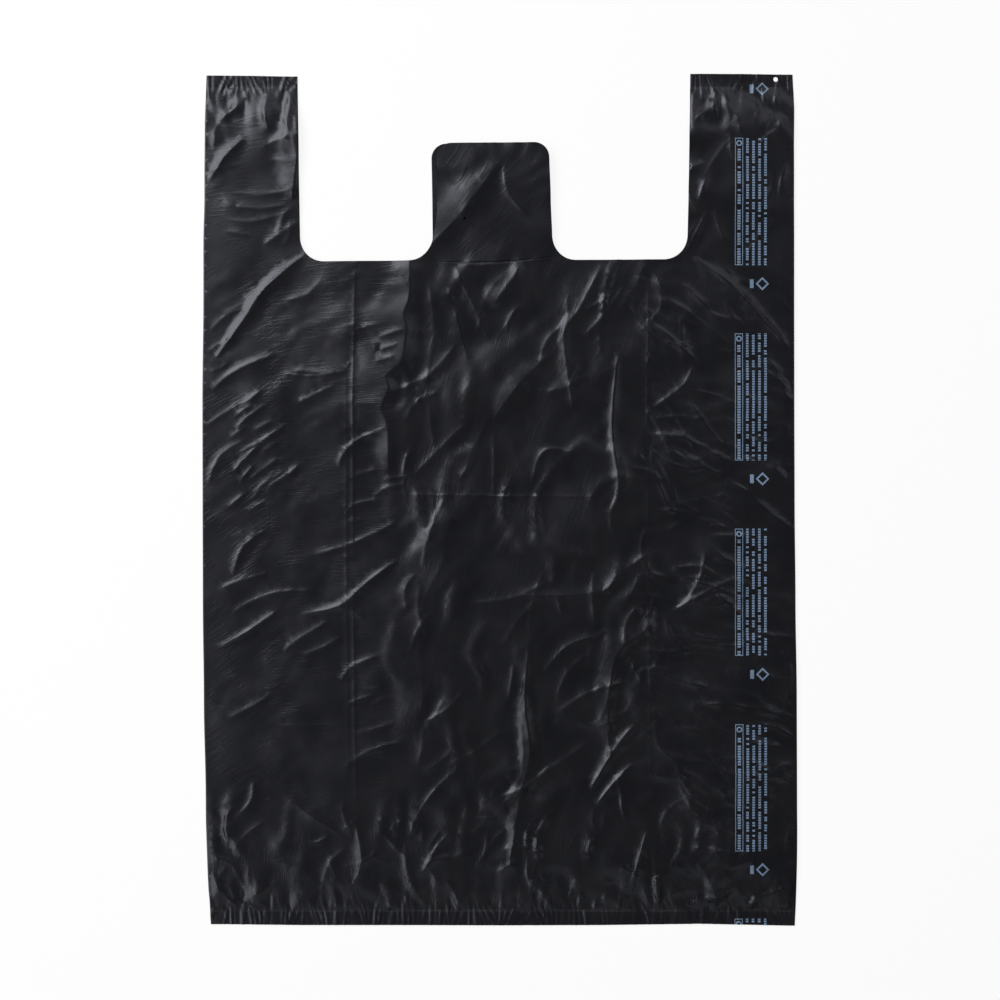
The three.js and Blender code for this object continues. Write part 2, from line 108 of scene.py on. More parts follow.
# Creases of the front wall: height, reach on the steep side, reach on the other side, and then
# the places that the crest passes, across and up in turn
CREASES = [
    # Handles and tab
    (1.5, 4.6, 9, -172, 283, -181, 271, -194, 261),
    (1.7, 4.8, 9, -176, 249, -188, 237, -201, 218),
    (1.2, 4.8, 12.6, -159, 281, -161, 269, -159, 254),
    (3, 18, 8, -143, 281, -139, 246, -143, 206),
    (0.96, 4.8, 12.6, -140, 191, -163, 175),
    (1.32, 5.6, 15.3, 152, 280, 146, 270, 133, 260),
    (1.2, 4.8, 12.6, 167, 280, 164, 251),
    (1.08, 4.8, 12.6, 189, 280, 191, 266, 194, 254),
    # Left
    (2.2, 5.4, 9, -136, 168, -161, 145, -175, 124, -194, 97),
    (1, 2.6, 8, -150, 101, -167, 95, -183, 87, -197, 75),
    (0.6, 1.8, 5, -100, 97, -110, 88, -143, 89),
    (0.64, 2.1, 7.2, -112, 79, -137, 67),
    (0.88, 2.5, 8.4, -146, 51, -163, 40, -178, 33),
    (0.8, 2.5, 8.4, -175, 41, -191, 30, -200, 10),
    (0.64, 2.1, 7.2, -151, 29, -170, 14),
    (0.96, 2.5, 8.4, -76, 50, -98, 40, -107, 31, -110, 22),
    (0.8, 2.1, 7.2, -81, 0, -98, -3, -106, -10),
    (0.9, 2.2, 6, -69, -14, -81, -21, -106, -32, -129, -38),
    (0.88, 2.5, 8.4, -160, -21, -175, -32, -183, -52),
    (1.3, 3.6, 8, -69, -41, -88, -55, -110, -73, -136, -79),
    (0.64, 2.1, 7.2, -158, -50, -191, -60),
    (0.8, 2.5, 8.4, -124, -63, -148, -63, -168, -69, -183, -78),
    (1.1, 2.6, 6, -153, -77, -173, -91, -193, -102),
    (0.72, 2.1, 7.2, -117, -83, -141, -98, -148, -105),
    (0.96, 2.5, 8.4, -84, -107, -102, -115, -110, -125),
    (0.64, 2.1, 7.2, -157, -134, -187, -151),
    (0.72, 2.1, 7.2, -69, -166, -89, -172, -103, -180),
    # Middle
    (4.2, 27, 17, -61, 185, -62, 164, -62, 141, -66, 127, -64, 118, -67, 95,
     -77, 85, -75, 76, -80, 63, -76, 50, -75, 20),
    (0.9, 9, 12, -49, 148, -45, 117, -49, 79, -43, 31),
    (1.1, 8, 10, -36, 147, -29, 123, -21, 95),
    (0.75, 11, 15, 0, 68, -21, 27, -30, -4, -38, -41, -51, -69, -55, -110, -48, -165),
    (1.5, 5.5, 14, 70, 162, 55, 132, 45, 118, 45, 103, 49, 77, 52, 60),
    (1.6, 9, 12, 36, 101, 14, 79, -4, 54),
    (2.2, 17, 13, 15, 163, 5, 148, -6, 131),
    (1.7, 3.6, 10, 82, 103, 79, 71, 78, 44, 82, 10, 77, -8, 77, -22),
    (0.96, 4.8, 12.6, 100, 162, 110, 149, 111, 132, 100, 119),
    (1.5, 7.2, 11.7, 104, -36, 82, -51, 69, -63, 41, -66, 14, -66),
    (2.5, 9, 9, 20, -100, 17, -137, 20, -173, 13, -206, 5, -253),
    (2.5, 5.4, 12, 92, -154, 79, -170, 61, -199),
    (1.6, 3.6, 9, 90, -181, 76, -196, 65, -210),
    (2.5, 12, 10, 106, -66, 101, -88, 80, -107, 74, -146, 75, -178),
    (0.86, 4.8, 12.6, 62, -165, 22, -194, 8, -205),
    (2.2, 22, 19, 0, 232, -22, 206, -57, 163),
    (1.4, 5, 15, 2, 229, 5, 211, 17, 196),
    (0.3, 0.8, 1.8, -32, 196, -28, 193),
    (0.3, 0.8, 1.8, -27, 192, -21, 190),
    (0.25, 0.8, 1.8, -27, 194, -25, 199),
    # Right
    (2.4, 5.5, 13, 133, 167, 159, 148, 178, 128, 200, 104),
    (0.74, 3.9, 13.6, 115, 140, 135, 125, 165, 101),
    (0.91, 3.3, 11.2, 134, 93, 127, 79, 106, 63),
    (0.58, 2.8, 9.6, 103, 55, 120, 57, 140, 57),
    (0.8, 3, 12, 117, 40, 135, 27, 168, 7, 196, -15),
    (0.74, 3.9, 13.6, 158, 4, 125, -3, 104, -15),
    (1, 2.4, 8, 141, -36, 138, -52, 128, -70, 118, -76),
    (0.58, 3.3, 11.2, 136, -25, 160, -43),
    (0.66, 3.3, 11.2, 118, -94, 161, -96),
    (0.83, 3.9, 13.6, 192, -96, 199, -122, 194, -146),
    (0.83, 3.3, 11.2, 106, -143, 108, -168, 125, -181, 147, -191),
    (0.74, 3.3, 11.2, 126, -179, 141, -181, 154, -205, 163, -210),
    (0.66, 3.3, 11.2, 126, -217, 144, -223, 163, -229),
    # Bottom
    (1.33, 3.9, 11.2, -200, -256, -192, -272, -182, -280),
    (1.1, 3.9, 11.2, -199, -244, -185, -251, -178, -267),
    (1.1, 3.9, 11.2, -154, -262, -174, -274, -158, -281),
    (0.99, 3.2, 9.6, -170, -193, -172, -207, -184, -221),
    (0.99, 3.9, 11.2, -147, -205, -124, -221, -111, -229),
    (1.2, 4.5, 8, -100, -221, -96, -249, -102, -265),
    (1.1, 3.9, 11.2, -119, -245, -108, -270),
    (1.33, 4.5, 13.6, -67, -238, -63, -261, -51, -280),
    (1.22, 3.2, 9.6, -33, -227, -44, -238, -54, -256),
    (1.33, 3.9, 11.2, -37, -261, -27, -281),
    (1.7, 3.8, 10, 100, -227, 93, -251, 86, -279),
    (1.7, 3.7, 8, 163, -262, 150, -272, 126, -279),
    (1.6, 3.6, 9, 194, -266, 178, -273, 166, -280),
    # Folds across the handles
    (0.78, 3.5, 7.2, -163, 271, -159, 254),
    (0.59, 2.8, 6.4, -157, 274, -144, 254, -139, 230),
    (0.49, 2.1, 4.8, -191, 261, -180, 272),
    (0.39, 1.4, 3.2, -184, 211, -163, 210, -144, 213),
    (0.39, 1.4, 3.2, -187, 203, -166, 200, -147, 203),
    (0.39, 1.4, 3.2, -188, 193, -172, 191, -151, 196),
    (0.39, 1.4, 3.2, -188, 185, -170, 181),
    (0.69, 2.8, 6.4, 152, 288, 143, 272, 134, 261),
    (0.59, 2.1, 5.6, 144, 285, 148, 273),
    (0.49, 2.1, 4.8, 157, 247, 143, 226, 136, 202),
    # Crumpled part of the left
    (0.56, 1.7, 4.2, -163, 74, -178, 65),
    (0.47, 1.7, 3.6, -168, 66, -181, 57),
    (0.65, 1.7, 4.2, -159, 66, -174, 55, -180, 48),
    (0.47, 1.7, 3.6, -172, 52, -184, 42),
    (0.56, 1.7, 4.2, -154, 55, -168, 47),
    (0.65, 1.7, 4.2, -163, 38, -177, 26, -181, 18),
    (0.47, 1.7, 3.6, -150, 41, -162, 33),
    (0.56, 1.7, 4.2, -168, 23, -178, 12),
    (0.47, 1.7, 3.6, -152, 20, -163, 9, -169, 0),
    (0.56, 1.7, 4.2, -174, 5, -185, -6),
    (0.47, 1.7, 3.6, -159, 0, -173, -8),
    (0.65, 1.7, 4.2, -137, 23, -150, 14, -159, 8),
    # Left of the middle
    (0.71, 2.4, 5.6, -108, -94, -122, -102, -136, -107),
    (0.61, 2.4, 5.6, -72, -153, -88, -158, -100, -161),
    (0.71, 2.4, 5.6, -84, -133, -96, -137, -106, -141),
    (0.61, 2.4, 5.6, -72, -220, -76, -228),
    (0.92, 2.4, 5.6, -71, -275, -79, -282),
    (0.8, 1.5, 3, -66, 117, -84, 111),
    (0.7, 1.5, 3, -69, 107, -83, 103),
    (0.7, 1.5, 3, -71, 99, -85, 95),
    # Middle, finer
    (0.71, 2.4, 6.4, 56, 93, 48, 77),
    (0.71, 2.4, 7.2, 79, 144, 69, 136, 58, 130),
    (0.82, 3, 8, 53, 33, 31, 33, 22, 10),
    (0.61, 2.4, 6.4, 39, -63, 43, -79),
    (0.61, 2.4, 6.4, 106, -258, 100, -286),
    (0.61, 2.4, 6.4, 72, -269, 69, -276),
    # Right, finer
    (0.53, 2.2, 6.4, 127, -14, 115, -21),
    (0.53, 2.2, 6.4, 148, -63, 161, -72),
    (0.53, 2.2, 6.4, 120, -98, 141, -99, 161, -103),
    (0.7, 2.8, 8, 106, -189, 127, -192, 144, -203),
    (0.62, 2.2, 7.2, 117, -238, 146, -240, 161, -244),
    (0.79, 2.2, 6.4, 142, -278, 134, -283, 125, -289),
    (0.44, 1.7, 4.8, 197, -289, 190, -292),
    (0.44, 1.7, 5.6, 185, 24, 197, 17),
    (0.53, 2.2, 6.4, 168, -261, 173, -251),
    (0.62, 2.2, 7.2, 194, -242, 198, -228, 200, -216),
    # Lip below the slit, the lines over the side folds, and the marks of an older fold
    (0.32, 0.8, 2.7, -43, 163.4, -14, 161.2, 36, 166),
    (0.21, 0.6, 0.8, -99.9, 166, -99.9, 60, -99.9, -40),
    (0.16, 0.6, 0.8, -99.9, -60, -99.9, -120, -99.9, -210),
    (0.1, 0.6, 0.8, -104.6, 100, -104.6, 0, -104.6, -190),
    (0.19, 0.6, 0.8, 102.1, 162, 102.1, 100, 102.1, 20),
    (0.14, 0.6, 0.8, 102.1, 40, 102.1, -40, 102.1, -190),
    (0.19, 0.6, 1.8, -75, 3.5, 0, 3, 69, 2),
    (0.32, 0.8, 1.8, -9, 2.5, 4, 2.2, 14, 2.6),
    (0.19, 0.6, 1.8, -171, -154, -140, -155, -103, -154.5),
    (0.22, 0.6, 1.4, -150, 87, -128, 85, -104, 88),
]

# Zones of short creases: how many, their box, direction and its spread in degrees, and the
# ranges of their lengths, of their steep sides' widths and of those sides' slopes
ZONES = [
    (14, (-202, 170, -139, 275), 40, 40, (12, 40), (1.5, 4), (0.06, 0.2)),
    (40, (-202, 55, -100, 165), 38, 18, (14, 45), (0.9, 2), (0.07, 0.24)),
    (52, (-192, -42, -130, 82), 36, 16, (8, 26), (0.8, 1.7), (0.08, 0.25)),
    (48, (-200, -206, -100, -42), 27, 14, (14, 45), (0.9, 2), (0.07, 0.19)),
    (34, (-105, -206, -65, 120), 16, 12, (10, 30), (0.8, 1.8), (0.12, 0.36)),
    (34, (-65, -70, 95, 160), 72, 30, (20, 60), (1.2, 5), (0.08, 0.23)),
    (34, (-65, -206, 95, -70), 64, 32, (20, 60), (1.2, 5), (0.09, 0.3)),
    (56, (100, -15, 200, 160), -36, 18, (20, 60), (1.2, 4), (0.11, 0.31)),
    (56, (100, -206, 200, -15), -20, 30, (20, 50), (1.2, 4), (0.12, 0.36)),
    (100, (-200, -278, 200, -206), 60, 60, (10, 32), (1, 3.4), (0.1, 0.3)),
    (20, (130, 165, 200, 275), 80, 25, (15, 45), (1, 3), (0.12, 0.36)),
]

# Zones of long low folds side by side: their box, direction, size along and across, and height
STREAKS = [
    ((-215, -215, -95, 175), 34, 26, 8, 0.4),
    ((-150, -60, -75, 170), 4, 30, 6, 0.2),
    ((-210, 170, -130, 300), 10, 22, 8, 0.3),
    ((-75, -230, 100, 170), 80, 55, 15, 1.6),
    ((-75, -230, 100, 170), 62, 40, 9, 0.5),
    ((95, -230, 215, 170), -32, 42, 9, 1.1),
    ((95, -230, 215, 60), 3, 36, 8, 0.65),
    ((120, 170, 215, 300), 70, 30, 9, 0.7),
    ((-215, -290, 215, -200), 86, 38, 11, 1.4),
    ((-60, 150, 60, 260), 50, 40, 14, 0.5),
]

# How the outline sways: at some heights, by how much at some places across, and at both ends,
# whose own sway starts so far from the middle and grows over so much
SWAY_ACROSS = (-203, -139, -47, 34, 130, 203)
SWAY = [
    (-292, -0.8, -0.3, 0.2, 0.6, 1, 1.2),
    (-275, 0.3, 0.6, 0.8, 1, 1.2, 1.4),
    (-240, 1.1, 1.2, 1.2, 1.3, 1.3, 1.4),
    (-206, 0.8, 0.9, 1, 1, 1.1, 1.2),
    (-137, -0.5, -0.3, 0.1, 0.4, 0.8, 1),
    (-69, -1.2, -1, -0.7, -0.4, -0.1, 0.1),
    (0, -1.4, -1.2, -1, -0.8, -0.6, -0.5),
    (68, -1.5, -1.3, -1.1, -1, -0.8, -0.7),
    (137, -0.8, -0.4, 0.2, 0.4, -0.7, -0.8),
    (178, -0.8, 1.1, 0.6, 1.8, -1, -0.8),
    (206, -0.1, 0.6, 0.5, 0.9, -0.2, -0.9),
    (240, -0.1, 0.5, 0.1, 0, 0.6, -0.8),
    (274, -0.3, -0.1, 0.3, 0, 1.4, 0),
    (292, -0.3, -0.3, 0.3, 0, 1.8, -0.3),
]
TOP_SWAY = ((-196, -172, -144, -60, 60, 137, 165, 196), (-0.4, -0.6, -1.1, 0, 0, 0.8, 0.7, 0.25))
BOTTOM_SWAY = ((-192, -137, -69, 0, 69, 137, 199), (0.2, -0.4, -0.4, -0.6, -0.4, 0.5, -0.8))
TOP_SWAY_START = 190
TOP_SWAY_GROWTH = 70
BOTTOM_SWAY_START = 240
BOTTOM_SWAY_GROWTH = 45

# Fine ripples of the film's surface by zone: box, direction, size along and across, and height
FINE_STREAKS = [
    ((-215, -215, -150, 175), 33, 26, 3, 0.05),
    ((-172, -215, -70, 172), 5, 32, 2.7, 0.05),
    ((-205, 168, -135, 285), 5, 24, 3.6, 0.045),
    ((-70, -290, 215, 170), 72, 26, 5, 0.04),
    ((80, -290, 215, 170), -28, 30, 4, 0.045),
    ((-215, -295, 215, -225), 88, 16, 3.4, 0.045),
    ((-60, 160, 60, 260), 48, 24, 6, 0.045),
]

# Gathers at the seals, in metres: pitch, height, reach, skirt, place of the crest in a pleat and lean
GATHER_SIZES = ("Pitch", "Height", "Reach", "Skirt", "Crest", "Lean", "Bottom seal", "Handle seal")
GATHERS = [
    (0.0038, 0.0017, 0.011, 0.009, 0.5, 2.2),
    (0.0085, 0.0016, 0.03, 0, 0.5, 3.4),
    (0.0175, 0.005, 0.07, 0, 0.55, 3.6),
]

# Print: where its first block starts, its period and a block's length, and its rows' start,
# pitch, share of ink across and count
PRINT = (248.3, 134.07, 87.2, 168.9, 4.153, 0.43, 4)

# Cells of the print's dashes, the inked part of each cell, and the share of cells with ink
PRINT_CELL = 1.75
DASH_SHARE = 0.72
INKED_SHARE = 0.84

# The print's band from side to side, the place and the width of its frame's lines, the place and
# the radii of its ring, and half the height and the start of its dashes
PRINT_BAND = (161.3, 166.8)
BAND_FRAME = 2.3
BAND_LINE = 0.5
RING_PLACE = 3.6
RING_RADII = (2, 1.1)
BAND_DASH = (1.1, 7.5)

# The mark after each block: the diamond's place across and along, its size and the bar's place
# across, and then the diamond's line and half the bar's size
PRINT_MARK = (180.2, 99.9, 4.6, 172.9)
DIAMOND_LINE = 1.6
BAR_SIZE = (1.3, 3)

# How finely the film is meshed
ROW_STEP = 9
BACK_STEP = 9
LEAF_STEP = 17
ARC_FACETS = 3
RIM_STEP = 3
RIM_INSET = 0.6
OPEN_STEP = 3.3
OPEN_JITTER = 0.22
OPEN_ROW = 0.87
OPEN_SEED = 5
CREASE_STEP = 2.5
CREST_STEP = 2.2
CREST_SIDE = 1.1
LEAST_FOOT = 2
LEAST_CREST = 0.35
SEAL_STEP = 1
SEAL_ZONE = 14
SEAL_ROWS = (-7.5, -4.5, -2, -0.8, 0, 0.8, 2, 4, 6.5, 9.5, 13, 17, 21.5)
FINE_SEAL_ROWS = 10
TAB_MARGIN = 14
SEARCH_CELL = 1.3

# How far the cutters reach: below and above the film, and past its end
CUTTER_LOW = -5
CUTTER_HIGH = 20
CUTTER_BEYOND = 20

# Shape of the creases: the way their steep sides face, how full they are along their length, how
# uneven in width, and the height that all of them together stay under
STEEP_TOWARDS = (-0.6, 1)
LENS_POWER = 0.6
UNEVEN_WIDTH = 0.22
UNEVEN_STEPS = 1.8
UNEVEN_SEED = 3
LEAST_WIDTH = 0.05
REACH_MARGIN = 1.3
RIDGE_LIMIT = 6

# Strewn creases: their seed, how far they bend, and how wide their hollow sides are
STREWN_SEED = 11
MOST_BEND = 0.15
HOLLOW_SHARE = 2.6

# Swell of the film between its folds: height, size and seed of each layer of it, then its level
# and how far from the sides it is full
BILLOWS = [(1.8, 75, 1), (1.2, 36, 2), (0.5, 17, 4)]
BILLOW_LEVEL = 1.3
BILLOW_MARGIN = 40

# Low folds side by side: how much and how widely they wander, how narrow they are, and how large
# and marked the patches are in which they show
STREAK_SEED = 40
STREAK_WANDER = 0.9
WANDER_SIZE = 26
STREAK_SHARPNESS = 1.9
PATCH_LEVEL = 0.45
PATCH_CONTRAST = 1.3
PATCH_SIZE = 24

# How far the boxes of all zones fade, and over what distance folds rise from sides and seals
BOX_FADE = 24
SIDE_FADE = 7
SEAL_FADE = 4
PINCH_SIZE = 9
PINCH_SEED = 21
UNEVEN_PINCH = 0.5

# Slack of the layers under the front wall
SLACK = 0.22
SLACK_SIZE = 16
SLACK_SEED = 7
SLACK_FADE = 6

# The front layer of the tab: how far it has slid, the part of its width that it slides over, and
# where and how far up the slide grows
TAB_SLIDE = 3.5
SLIDE_WIDTH = 0.7 * TAB_WIDTH
SLIDE_START = 8
SLIDE_GROWTH = 30

# Cells in a table of noise
NOISE_CELLS = 64

# Places of the skins in the bake picture: left, bottom and size
FRONT_TILE = (0.005, 0.005, 0.97)
BACK_TILE = (0.695, 0.005, 0.44)
LEAF_TILES = [(0.835 if n % 2 else 0.695, 0.47 + 0.18 * (n // 2), 0.17) for n in range(6)]

# Look of the surface: how narrow the ripples are, how high it is crumpled, how fine its clouds,
# patches and crumples are, and how far and how strongly a seal scuffs it
RIPPLE_SHARPNESS = 9
CRUMPLE_HEIGHT = 0.028
CLOUD_SCALE = 38.0
PATCH_SCALE = 55.0
CRUMPLE_SCALE = 90.0
SCUFF_REACH = 1.2
SCUFF_SHARE = 0.25

# Camera, in millimetres, and its place and the bag's middle height in metres
LENS = 85
SENSOR = 36
CAMERA_Y = -0.00017
MIDDLE_HEIGHT = 0.003

# Floor: half its size and its height in metres, its colour and its own light
FLOOR_HALF = 6
FLOOR_Z = -0.0002
FLOOR_COLOUR = (0.95, 0.95, 0.95, 1)
FLOOR_LIGHT = 0.88
WHITE = (1, 1, 1, 1)

# Lamps: name, place and size, in metres
LAMPS = [
    ("key", (-1.15, 0.95, 1.38), (1.3, 1.3)),
    ("side", (-1.3, -0.4, 1.28), (1.5, 0.9)),
    ("top", (0.45, 1.45, 1.45), (2.2, 0.9)),
    ("fill", (1.6, 0.3, 1.3), (0.8, 1.2)),
    ("front", (0.1, -1.3, 1.35), (2.2, 0.7)),
]


def smooth_line(marks, step):
    """Points about `step` apart on a smooth curve through the marks."""
    marks = np.array(marks, float)
    padded = np.vstack([2 * marks[0] - marks[1], marks, 2 * marks[-1] - marks[-2]])
    points = []
    for a, b, c, d in zip(padded, padded[1:], padded[2:], padded[3:]):
        count = max(1, round(float(np.linalg.norm(c - b)) / step))
        t = (np.arange(count) / count)[:, None]
        square, cube = a - 2.5 * b + 2 * c - d / 2, 1.5 * (b - c) + (d - a) / 2
        points.append(b + t * (c - a) / 2 + t**2 * square + t**3 * cube)
    return np.vstack([*points, marks[-1:]])


def nearest_on_line(line, x, y):
    """Distance from each place to a line, signed by its side, and the share of the line passed."""
    start, step = line[:-1], np.diff(line, axis=0)
    px, py = x[:, None] - start[:, 0], y[:, None] - start[:, 1]
    share = np.clip((px * step[:, 0] + py * step[:, 1]) / (step**2).sum(1), 0, 1)
    dx, dy = px - share * step[:, 0], py - share * step[:, 1]
    distance = np.hypot(dx, dy)
    best = distance.argmin(1)
    rows = np.arange(len(x))
    side = np.where(step[best, 0] * py[rows, best] < step[best, 1] * px[rows, best], -1, 1)
    return distance[rows, best] * side, (best + share[rows, best]) / len(start)


def smooth_step(values):
    """Values from 0 to 1, eased at both ends, and clipped beyond them."""
    values = np.clip(values, 0, 1)
    return values * values * (3 - 2 * values)


def soft_noise(x, y, size, seed):
    """Smooth noise from -1 to 1, with blobs of about the given size."""
    table = np.random.default_rng(seed).uniform(-1, 1, (NOISE_CELLS, NOISE_CELLS))
    u, v = np.asarray(x / size + NOISE_CELLS), np.asarray(y / size + NOISE_CELLS)
    i, j = np.floor(u).astype(int), np.floor(v).astype(int)
    fu, fv = smooth_step(u - i), smooth_step(v - j)

    def corner(right, up):
        return table[(i + right) % NOISE_CELLS, (j + up) % NOISE_CELLS]

    low = corner(0, 0) * (1 - fu) + corner(1, 0) * fu
    high = corner(0, 1) * (1 - fu) + corner(1, 1) * fu
    return low * (1 - fv) + high * fv


class Crease:
    """A fold in the front wall. From its crest line, a narrow flat face falls towards the upper
    left and a longer hollow face falls the other way, and both are pointed at the ends."""

    def __init__(self, height, steep, other, marks):
        self.marks, self.height = marks, height
        self.line = smooth_line(marks, CREASE_STEP)
        run = self.line[-1] - self.line[0]
        steep_on_left = STEEP_TOWARDS[1] * run[0] > STEEP_TOWARDS[0] * run[1]
        self.side = 1 if steep_on_left else -1
        self.steep, self.other = steep, other
        self.seed = int(abs(7 * marks[0][0] + 13 * marks[0][1]))

    def lens(self, along):
        """Share of the crease's full height at a share of its length."""
        return np.sin(np.pi * np.clip(along, 0, 1)) ** LENS_POWER

    def width(self, along):
        """Share of the crease's full width at a share of its length, a little uneven."""
        steps = len(self.line) * along / UNEVEN_STEPS
        uneven = soft_noise(steps, 0 * steps + self.seed, 1, UNEVEN_SEED)
        return self.lens(along) * (1 + UNEVEN_WIDTH * uneven)

    def add_to(self, height, x, y):
        """Raises the heights of the places that the crease reaches."""
        reach = REACH_MARGIN * max(self.steep, self.other)
        low, high = self.line.min(0) - reach, self.line.max(0) + reach
        near = np.flatnonzero((x > low[0]) & (x < high[0]) & (y > low[1]) & (y < high[1]))
        if not len(near):
            return
        distance, along = nearest_on_line(self.line, x[near], y[near])
        steep = distance * self.side > 0
        width = np.maximum(self.width(along), LEAST_WIDTH)
        fall = np.clip(1 - np.abs(distance) / (np.where(steep, self.steep, self.other) * width), 0, 1)
        height[near] += self.height * self.lens(along) * np.where(steep, fall, fall**2)

    def mesh_points(self):
        """Corners for the mesh on the crest, close beside it, and at the foot of the steep side."""
        line = smooth_line(self.marks, CREST_STEP)
        run = np.gradient(line, axis=0)
        across = np.stack([-run[:, 1], run[:, 0]], 1) / np.linalg.norm(run, axis=1)[:, None]
        beside = min(CREST_SIDE, self.steep) * across
        foot = self.side * self.steep * self.width(np.linspace(0, 1, len(line)))[:, None] * across
        far = np.abs(foot).max(1) > LEAST_FOOT
        return line, [*(line + beside), *(line - beside), *(line + foot)[far]]


def strewn(zone, rng):
    """Short creases strewn over one zone, mostly along its direction."""
    count, (x0, y0, x1, y1), direction, spread, lengths, widths, slopes = zone
    made = []
    for _ in range(count):
        middle = np.array([rng.uniform(x0, x1), rng.uniform(y0, y1)])
        angle = math.radians(rng.normal(direction, spread))
        run = np.array([math.cos(angle), math.sin(angle)])
        length = rng.uniform(*lengths)
        bend = rng.uniform(-MOST_BEND, MOST_BEND) * length * np.array([-run[1], run[0]])
        steep = rng.uniform(*widths)
        marks = [middle - run * length / 2, middle + bend, middle + run * length / 2]
        made.append(Crease(steep * rng.uniform(*slopes), steep, HOLLOW_SHARE * steep, marks))
    return made


def all_creases():
    """The placed creases, and the strewn ones."""
    rng = np.random.default_rng(STREWN_SEED)
    placed = [
        Crease(height, steep, other, np.reshape(marks, (-1, 2)))
        for height, steep, other, *marks in CREASES
    ]
    return placed, [crease for zone in ZONES for crease in strewn(zone, rng)]


def billow(x, y):
    """The film's soft swell between its folds."""
    swell = sum(height * soft_noise(x, y, size, seed) for height, size, seed in BILLOWS)
    inside = smooth_step((HALF - np.abs(x)) / BILLOW_MARGIN)
    return inside * np.clip(BILLOW_LEVEL + swell, 0, None)


def boxed(x, y, box):
    """1 inside a box and 0 outside, with soft edges."""
    x0, y0, x1, y1 = box
    edges = (x - x0, x1 - x, y - y0, y1 - y)
    return np.prod([smooth_step(edge / BOX_FADE + 0.5) for edge in edges], axis=0)


def streaks(x, y, seed, zone):
    """Long low folds side by side over one zone."""
    box, direction, along, across, height = zone
    turn = math.radians(direction)
    u = (x * math.cos(turn) + y * math.sin(turn)) / along
    wander = STREAK_WANDER * soft_noise(x, y, WANDER_SIZE, seed)
    v = (y * math.cos(turn) - x * math.sin(turn)) / across + wander
    ridge = np.clip(1 - STREAK_SHARPNESS * np.abs(soft_noise(u, v, 1, seed + 1)), 0, None)
    patch = smooth_step(PATCH_LEVEL + PATCH_CONTRAST * soft_noise(x, y, PATCH_SIZE, seed + 2))
    return height * ridge * patch * boxed(x, y, box)


def front_relief(x, y, creases):
    """Height of the front wall above its flat level."""
    ridges = np.zeros(len(x))
    for crease in creases:
        crease.add_to(ridges, x, y)
    for n, zone in enumerate(STREAKS):
        ridges += streaks(x, y, STREAK_SEED + 3 * n, zone)
    ridges = RIDGE_LIMIT * np.tanh(ridges / RIDGE_LIMIT)
    beside_seal = np.minimum(y - BOTTOM_SEAL, HANDLE_SEAL - y)
    pinch = PINCH_REACH * (1 + UNEVEN_PINCH * soft_noise(x, y, PINCH_SIZE, PINCH_SEED))
    swell = smooth_step(beside_seal / pinch) * billow(x, y)
    inside = smooth_step((HALF - np.abs(x)) / SIDE_FADE)
    return inside * (swell + smooth_step(beside_seal / SEAL_FADE) * ridges)


def side_rows():
    """Places up the bag where its sides have corners, closest at the seals."""
    marks = [
        -TOP,
        BOTTOM_SEAL - SEAL_STEP,
        BOTTOM_SEAL + SEAL_STEP,
        BOTTOM_SEAL + SEAL_ZONE,
        HANDLE_SEAL - SEAL_ZONE,
        HANDLE_SEAL - SEAL_STEP,
        HANDLE_SEAL + SEAL_STEP,
        TOP,
    ]
    rows = []
    for low, high in zip(marks, marks[1:]):
        rows.extend(np.linspace(low, high, max(2, round((high - low) / ROW_STEP)), endpoint=False))
    return np.array([*rows, TOP])


def spaced(groups):
    """The points of each group that are far enough from the points already kept."""
    kept, taken = [], {}
    for points, spacing in groups:
        span = math.ceil(spacing / SEARCH_CELL)
        for x, y in points:
            i, j = math.floor(x / SEARCH_CELL), math.floor(y / SEARCH_CELL)
            near = (
                point
                for column in range(i - span, i + span + 1)
                for row in range(j - span, j + span + 1)
                for point in taken.get((column, row), ())
            )
            if spacing and any((px - x) ** 2 + (py - y) ** 2 < spacing**2 for px, py in near):
                continue
            kept.append((x, y))
            taken.setdefault((i, j), []).append((x, y))
    return kept


def on_film(x, y):
    """Whether a place is on the film or near it, and not over the mouth."""
    over_mouth = y > MOUTH_FLOOR + 6 and abs(x - MOUTH_OFFSET) < MOUTH_WIDTH / 2 - 5
    beside_tab = abs(x - MOUTH_OFFSET - TAB_OFFSET) < TAB_WIDTH / 2 + TAB_MARGIN
    on_tab = beside_tab and y < MOUTH_FLOOR + TAB_HEIGHT + 5
    return on_tab or not over_mouth


def well_inside(x, y):
    """Whether a place is on the film and clear of the front wall's rim."""
    return abs(x) < EDGE - 0.5 and abs(y) < TOP - 0.6 and on_film(x, y)


def seal_places(step):
    """Places across the bag from side to side, at which its seals and ends have corners."""
    return np.arange(-HALF + 1, HALF - 0.5, step)


def open_points():
    """Corners of a slightly uneven grid over the whole front wall."""
    rng = np.random.default_rng(OPEN_SEED)
    across, up = int(2 * HALF / OPEN_STEP), int(2 * TOP / OPEN_STEP / OPEN_ROW)
    i, j = np.meshgrid(np.arange(across), np.arange(up))
    jitter = rng.uniform(-OPEN_JITTER, OPEN_JITTER, (2, *i.shape)) * OPEN_STEP
    x = -HALF + (i + 0.5 + 0.5 * (j % 2)) * OPEN_STEP + jitter[0]
    y = -TOP + (j + 0.5) * OPEN_STEP * OPEN_ROW + jitter[1]
    return list(zip(x.ravel(), y.ravel()))


